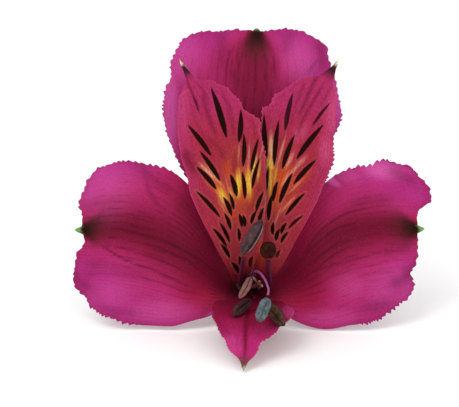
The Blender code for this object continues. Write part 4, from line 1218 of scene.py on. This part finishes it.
# Stem skin: waxy green epidermis over long fibres, with fine stripes along it, and a pale pith
# where it is cut.
stemSkin = {
    "skin": {"Roughness": 0.48, "IOR": 1.45},
    "fibreMm": 0.35, "stretch": (1.0, 0.12, 1.0), "spread": (0.35, 0.65), "bump": (0.4, 0.0001),
    "green": "#5C7A34", "paleGreen": "#7C9848", "flush": "#5A2430", "groove": "#42602A", "cut": "#C8D0A0",
}


def stalkMaterial():
    tissue = stemSkin
    material, tree, shader = newMaterial("green stem epidermis", tissue["skin"])
    stretched = addNode(tree, "VectorMath", 0, {0: objectMm(tree), 1: tissue["stretch"]},
                        operation="MULTIPLY")
    fibres = addNode(tree, "TexNoise", "Fac",
                     {"Vector": stretched, "Scale": 1 / tissue["fibreMm"], "Detail": 3.0})
    low, high = tissue["spread"]
    spread = addNode(tree, "MapRange", "Result", {"Value": fibres, "From Min": low, "From Max": high})
    colour = tissue["green"]
    for amount, over in ((spread, "paleGreen"), ("flush", "flush"), ("groove", "groove"), ("cut", "cut")):
        colour = addNode(tree, "Mix", 2, {0: amount, 6: colour, 7: tissue[over]}, data_type="RGBA")
    dressShader(tree, shader, colour, fibres, tissue["bump"])
    return material


radii = [stalk["ovary"] * part for part in stalk["ovaryRadii"]]
radii += [stalk["stalk"] * part for part in stalk["stalkRadii"]]
points, faces, share, turn = roundRod(stalk["path"], radii, *stalk["mesh"], ovarySection, up=stalk["up"],
                                      lumps=stalk["lumps"])
points[:, :2] += bloom["throatAt"][:2]
points[:, 2] = np.maximum(points[:, 2], 0.0)
groove = (1 - np.abs(np.cos(3 * turn))) ** 2 * growing(share, *stalk["groove"])
cutFace = np.zeros(len(share))
cutFace[-1] = 1.0
piece = addPiece("ovary_and_stalk", points, faces, stalkMaterial(),
                 {"groove": groove * fading(share, 1, *stalk["ovaryEnd"]),
                  "flush": fading(share, *stalk["flush"]), "cut": cutFace})
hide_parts("stalk")
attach(piece, "root")
print("stalk made")

# the studio is in metres: a white card below the object and two soft round lights
studio = {
    "floorHex": "#FFFFFF", "floorHalf": 2.0, "floorUp": -0.0003,
    "floorSkin": {"Roughness": 0.9, "Specular IOR Level": 0.1},
    "worldHex": "#FFFFFF", "worldStrength": 0.86, "lightAim": (0.0, -0.01, 0.025),
    "keyPower": 5.0, "keySize": 0.7, "keyAt": (-0.45, -0.75, 0.85),
    "fillPower": 3.4, "fillSize": 0.7, "fillAt": (0.25, -0.95, 0.32),
}


def addArea(name, at, size, power):
    light = bpy.data.lights.new(name, "AREA")
    light.shape = "DISK"
    light.size = size
    light.energy = power
    lamp = bpy.data.objects.new(name, light)
    lamp.location = at
    x, y, z = np.array(at) - np.array(studio["lightAim"])
    lamp.rotation_euler = (np.arctan2(np.hypot(x, y), z), 0.0, np.arctan2(x, -y))
    bpy.context.scene.collection.objects.link(lamp)


far, up = studio["floorHalf"], studio["floorUp"]
corners = [(-far, -far, up), (far, -far, up), (far, far, up), (-far, far, up)]
floorMesh = bpy.data.meshes.new("pale floor")
floorMesh.from_pydata(corners, [], [(0, 1, 2, 3)])
floorSkin = studio["floorSkin"] | {"Base Color": toLinear(studio["floorHex"])}
floorMesh.materials.append(newMaterial("matt white card", floorSkin)[0])
floor = bpy.data.objects.new("pale_floor", floorMesh)
bpy.context.scene.collection.objects.link(floor)

addArea("key_softbox", studio["keyAt"], studio["keySize"], studio["keyPower"])
addArea("fill_softbox", studio["fillAt"], studio["fillSize"], studio["fillPower"])
world = bpy.data.worlds.new("studio")
world.use_nodes = True
background = world.node_tree.nodes["Background"]
background.inputs["Color"].default_value = toLinear(studio["worldHex"])
background.inputs["Strength"].default_value = studio["worldStrength"]
bpy.context.scene.world = world
bpy.context.scene.view_settings.view_transform = "Standard"

lens = bpy.data.cameras.new("camera")
lens.lens = photoView["lensMm"]
lens.sensor_width = photoView["sensorMm"]
lens.clip_start = photoView["clipStart"]
camera = bpy.data.objects.new("camera", lens)
cameraAt = np.array(photoView["aimAt"]) - (0, photoView["lensAway"], 0)
camera.location = (placeBloom(cameraAt) * metresPerMm).tolist()
camera.rotation_euler = (np.radians(90 - bloom["leanBack"]), 0, 0)
bpy.context.scene.collection.objects.link(camera)
bpy.context.scene.camera = camera
print("studio set")
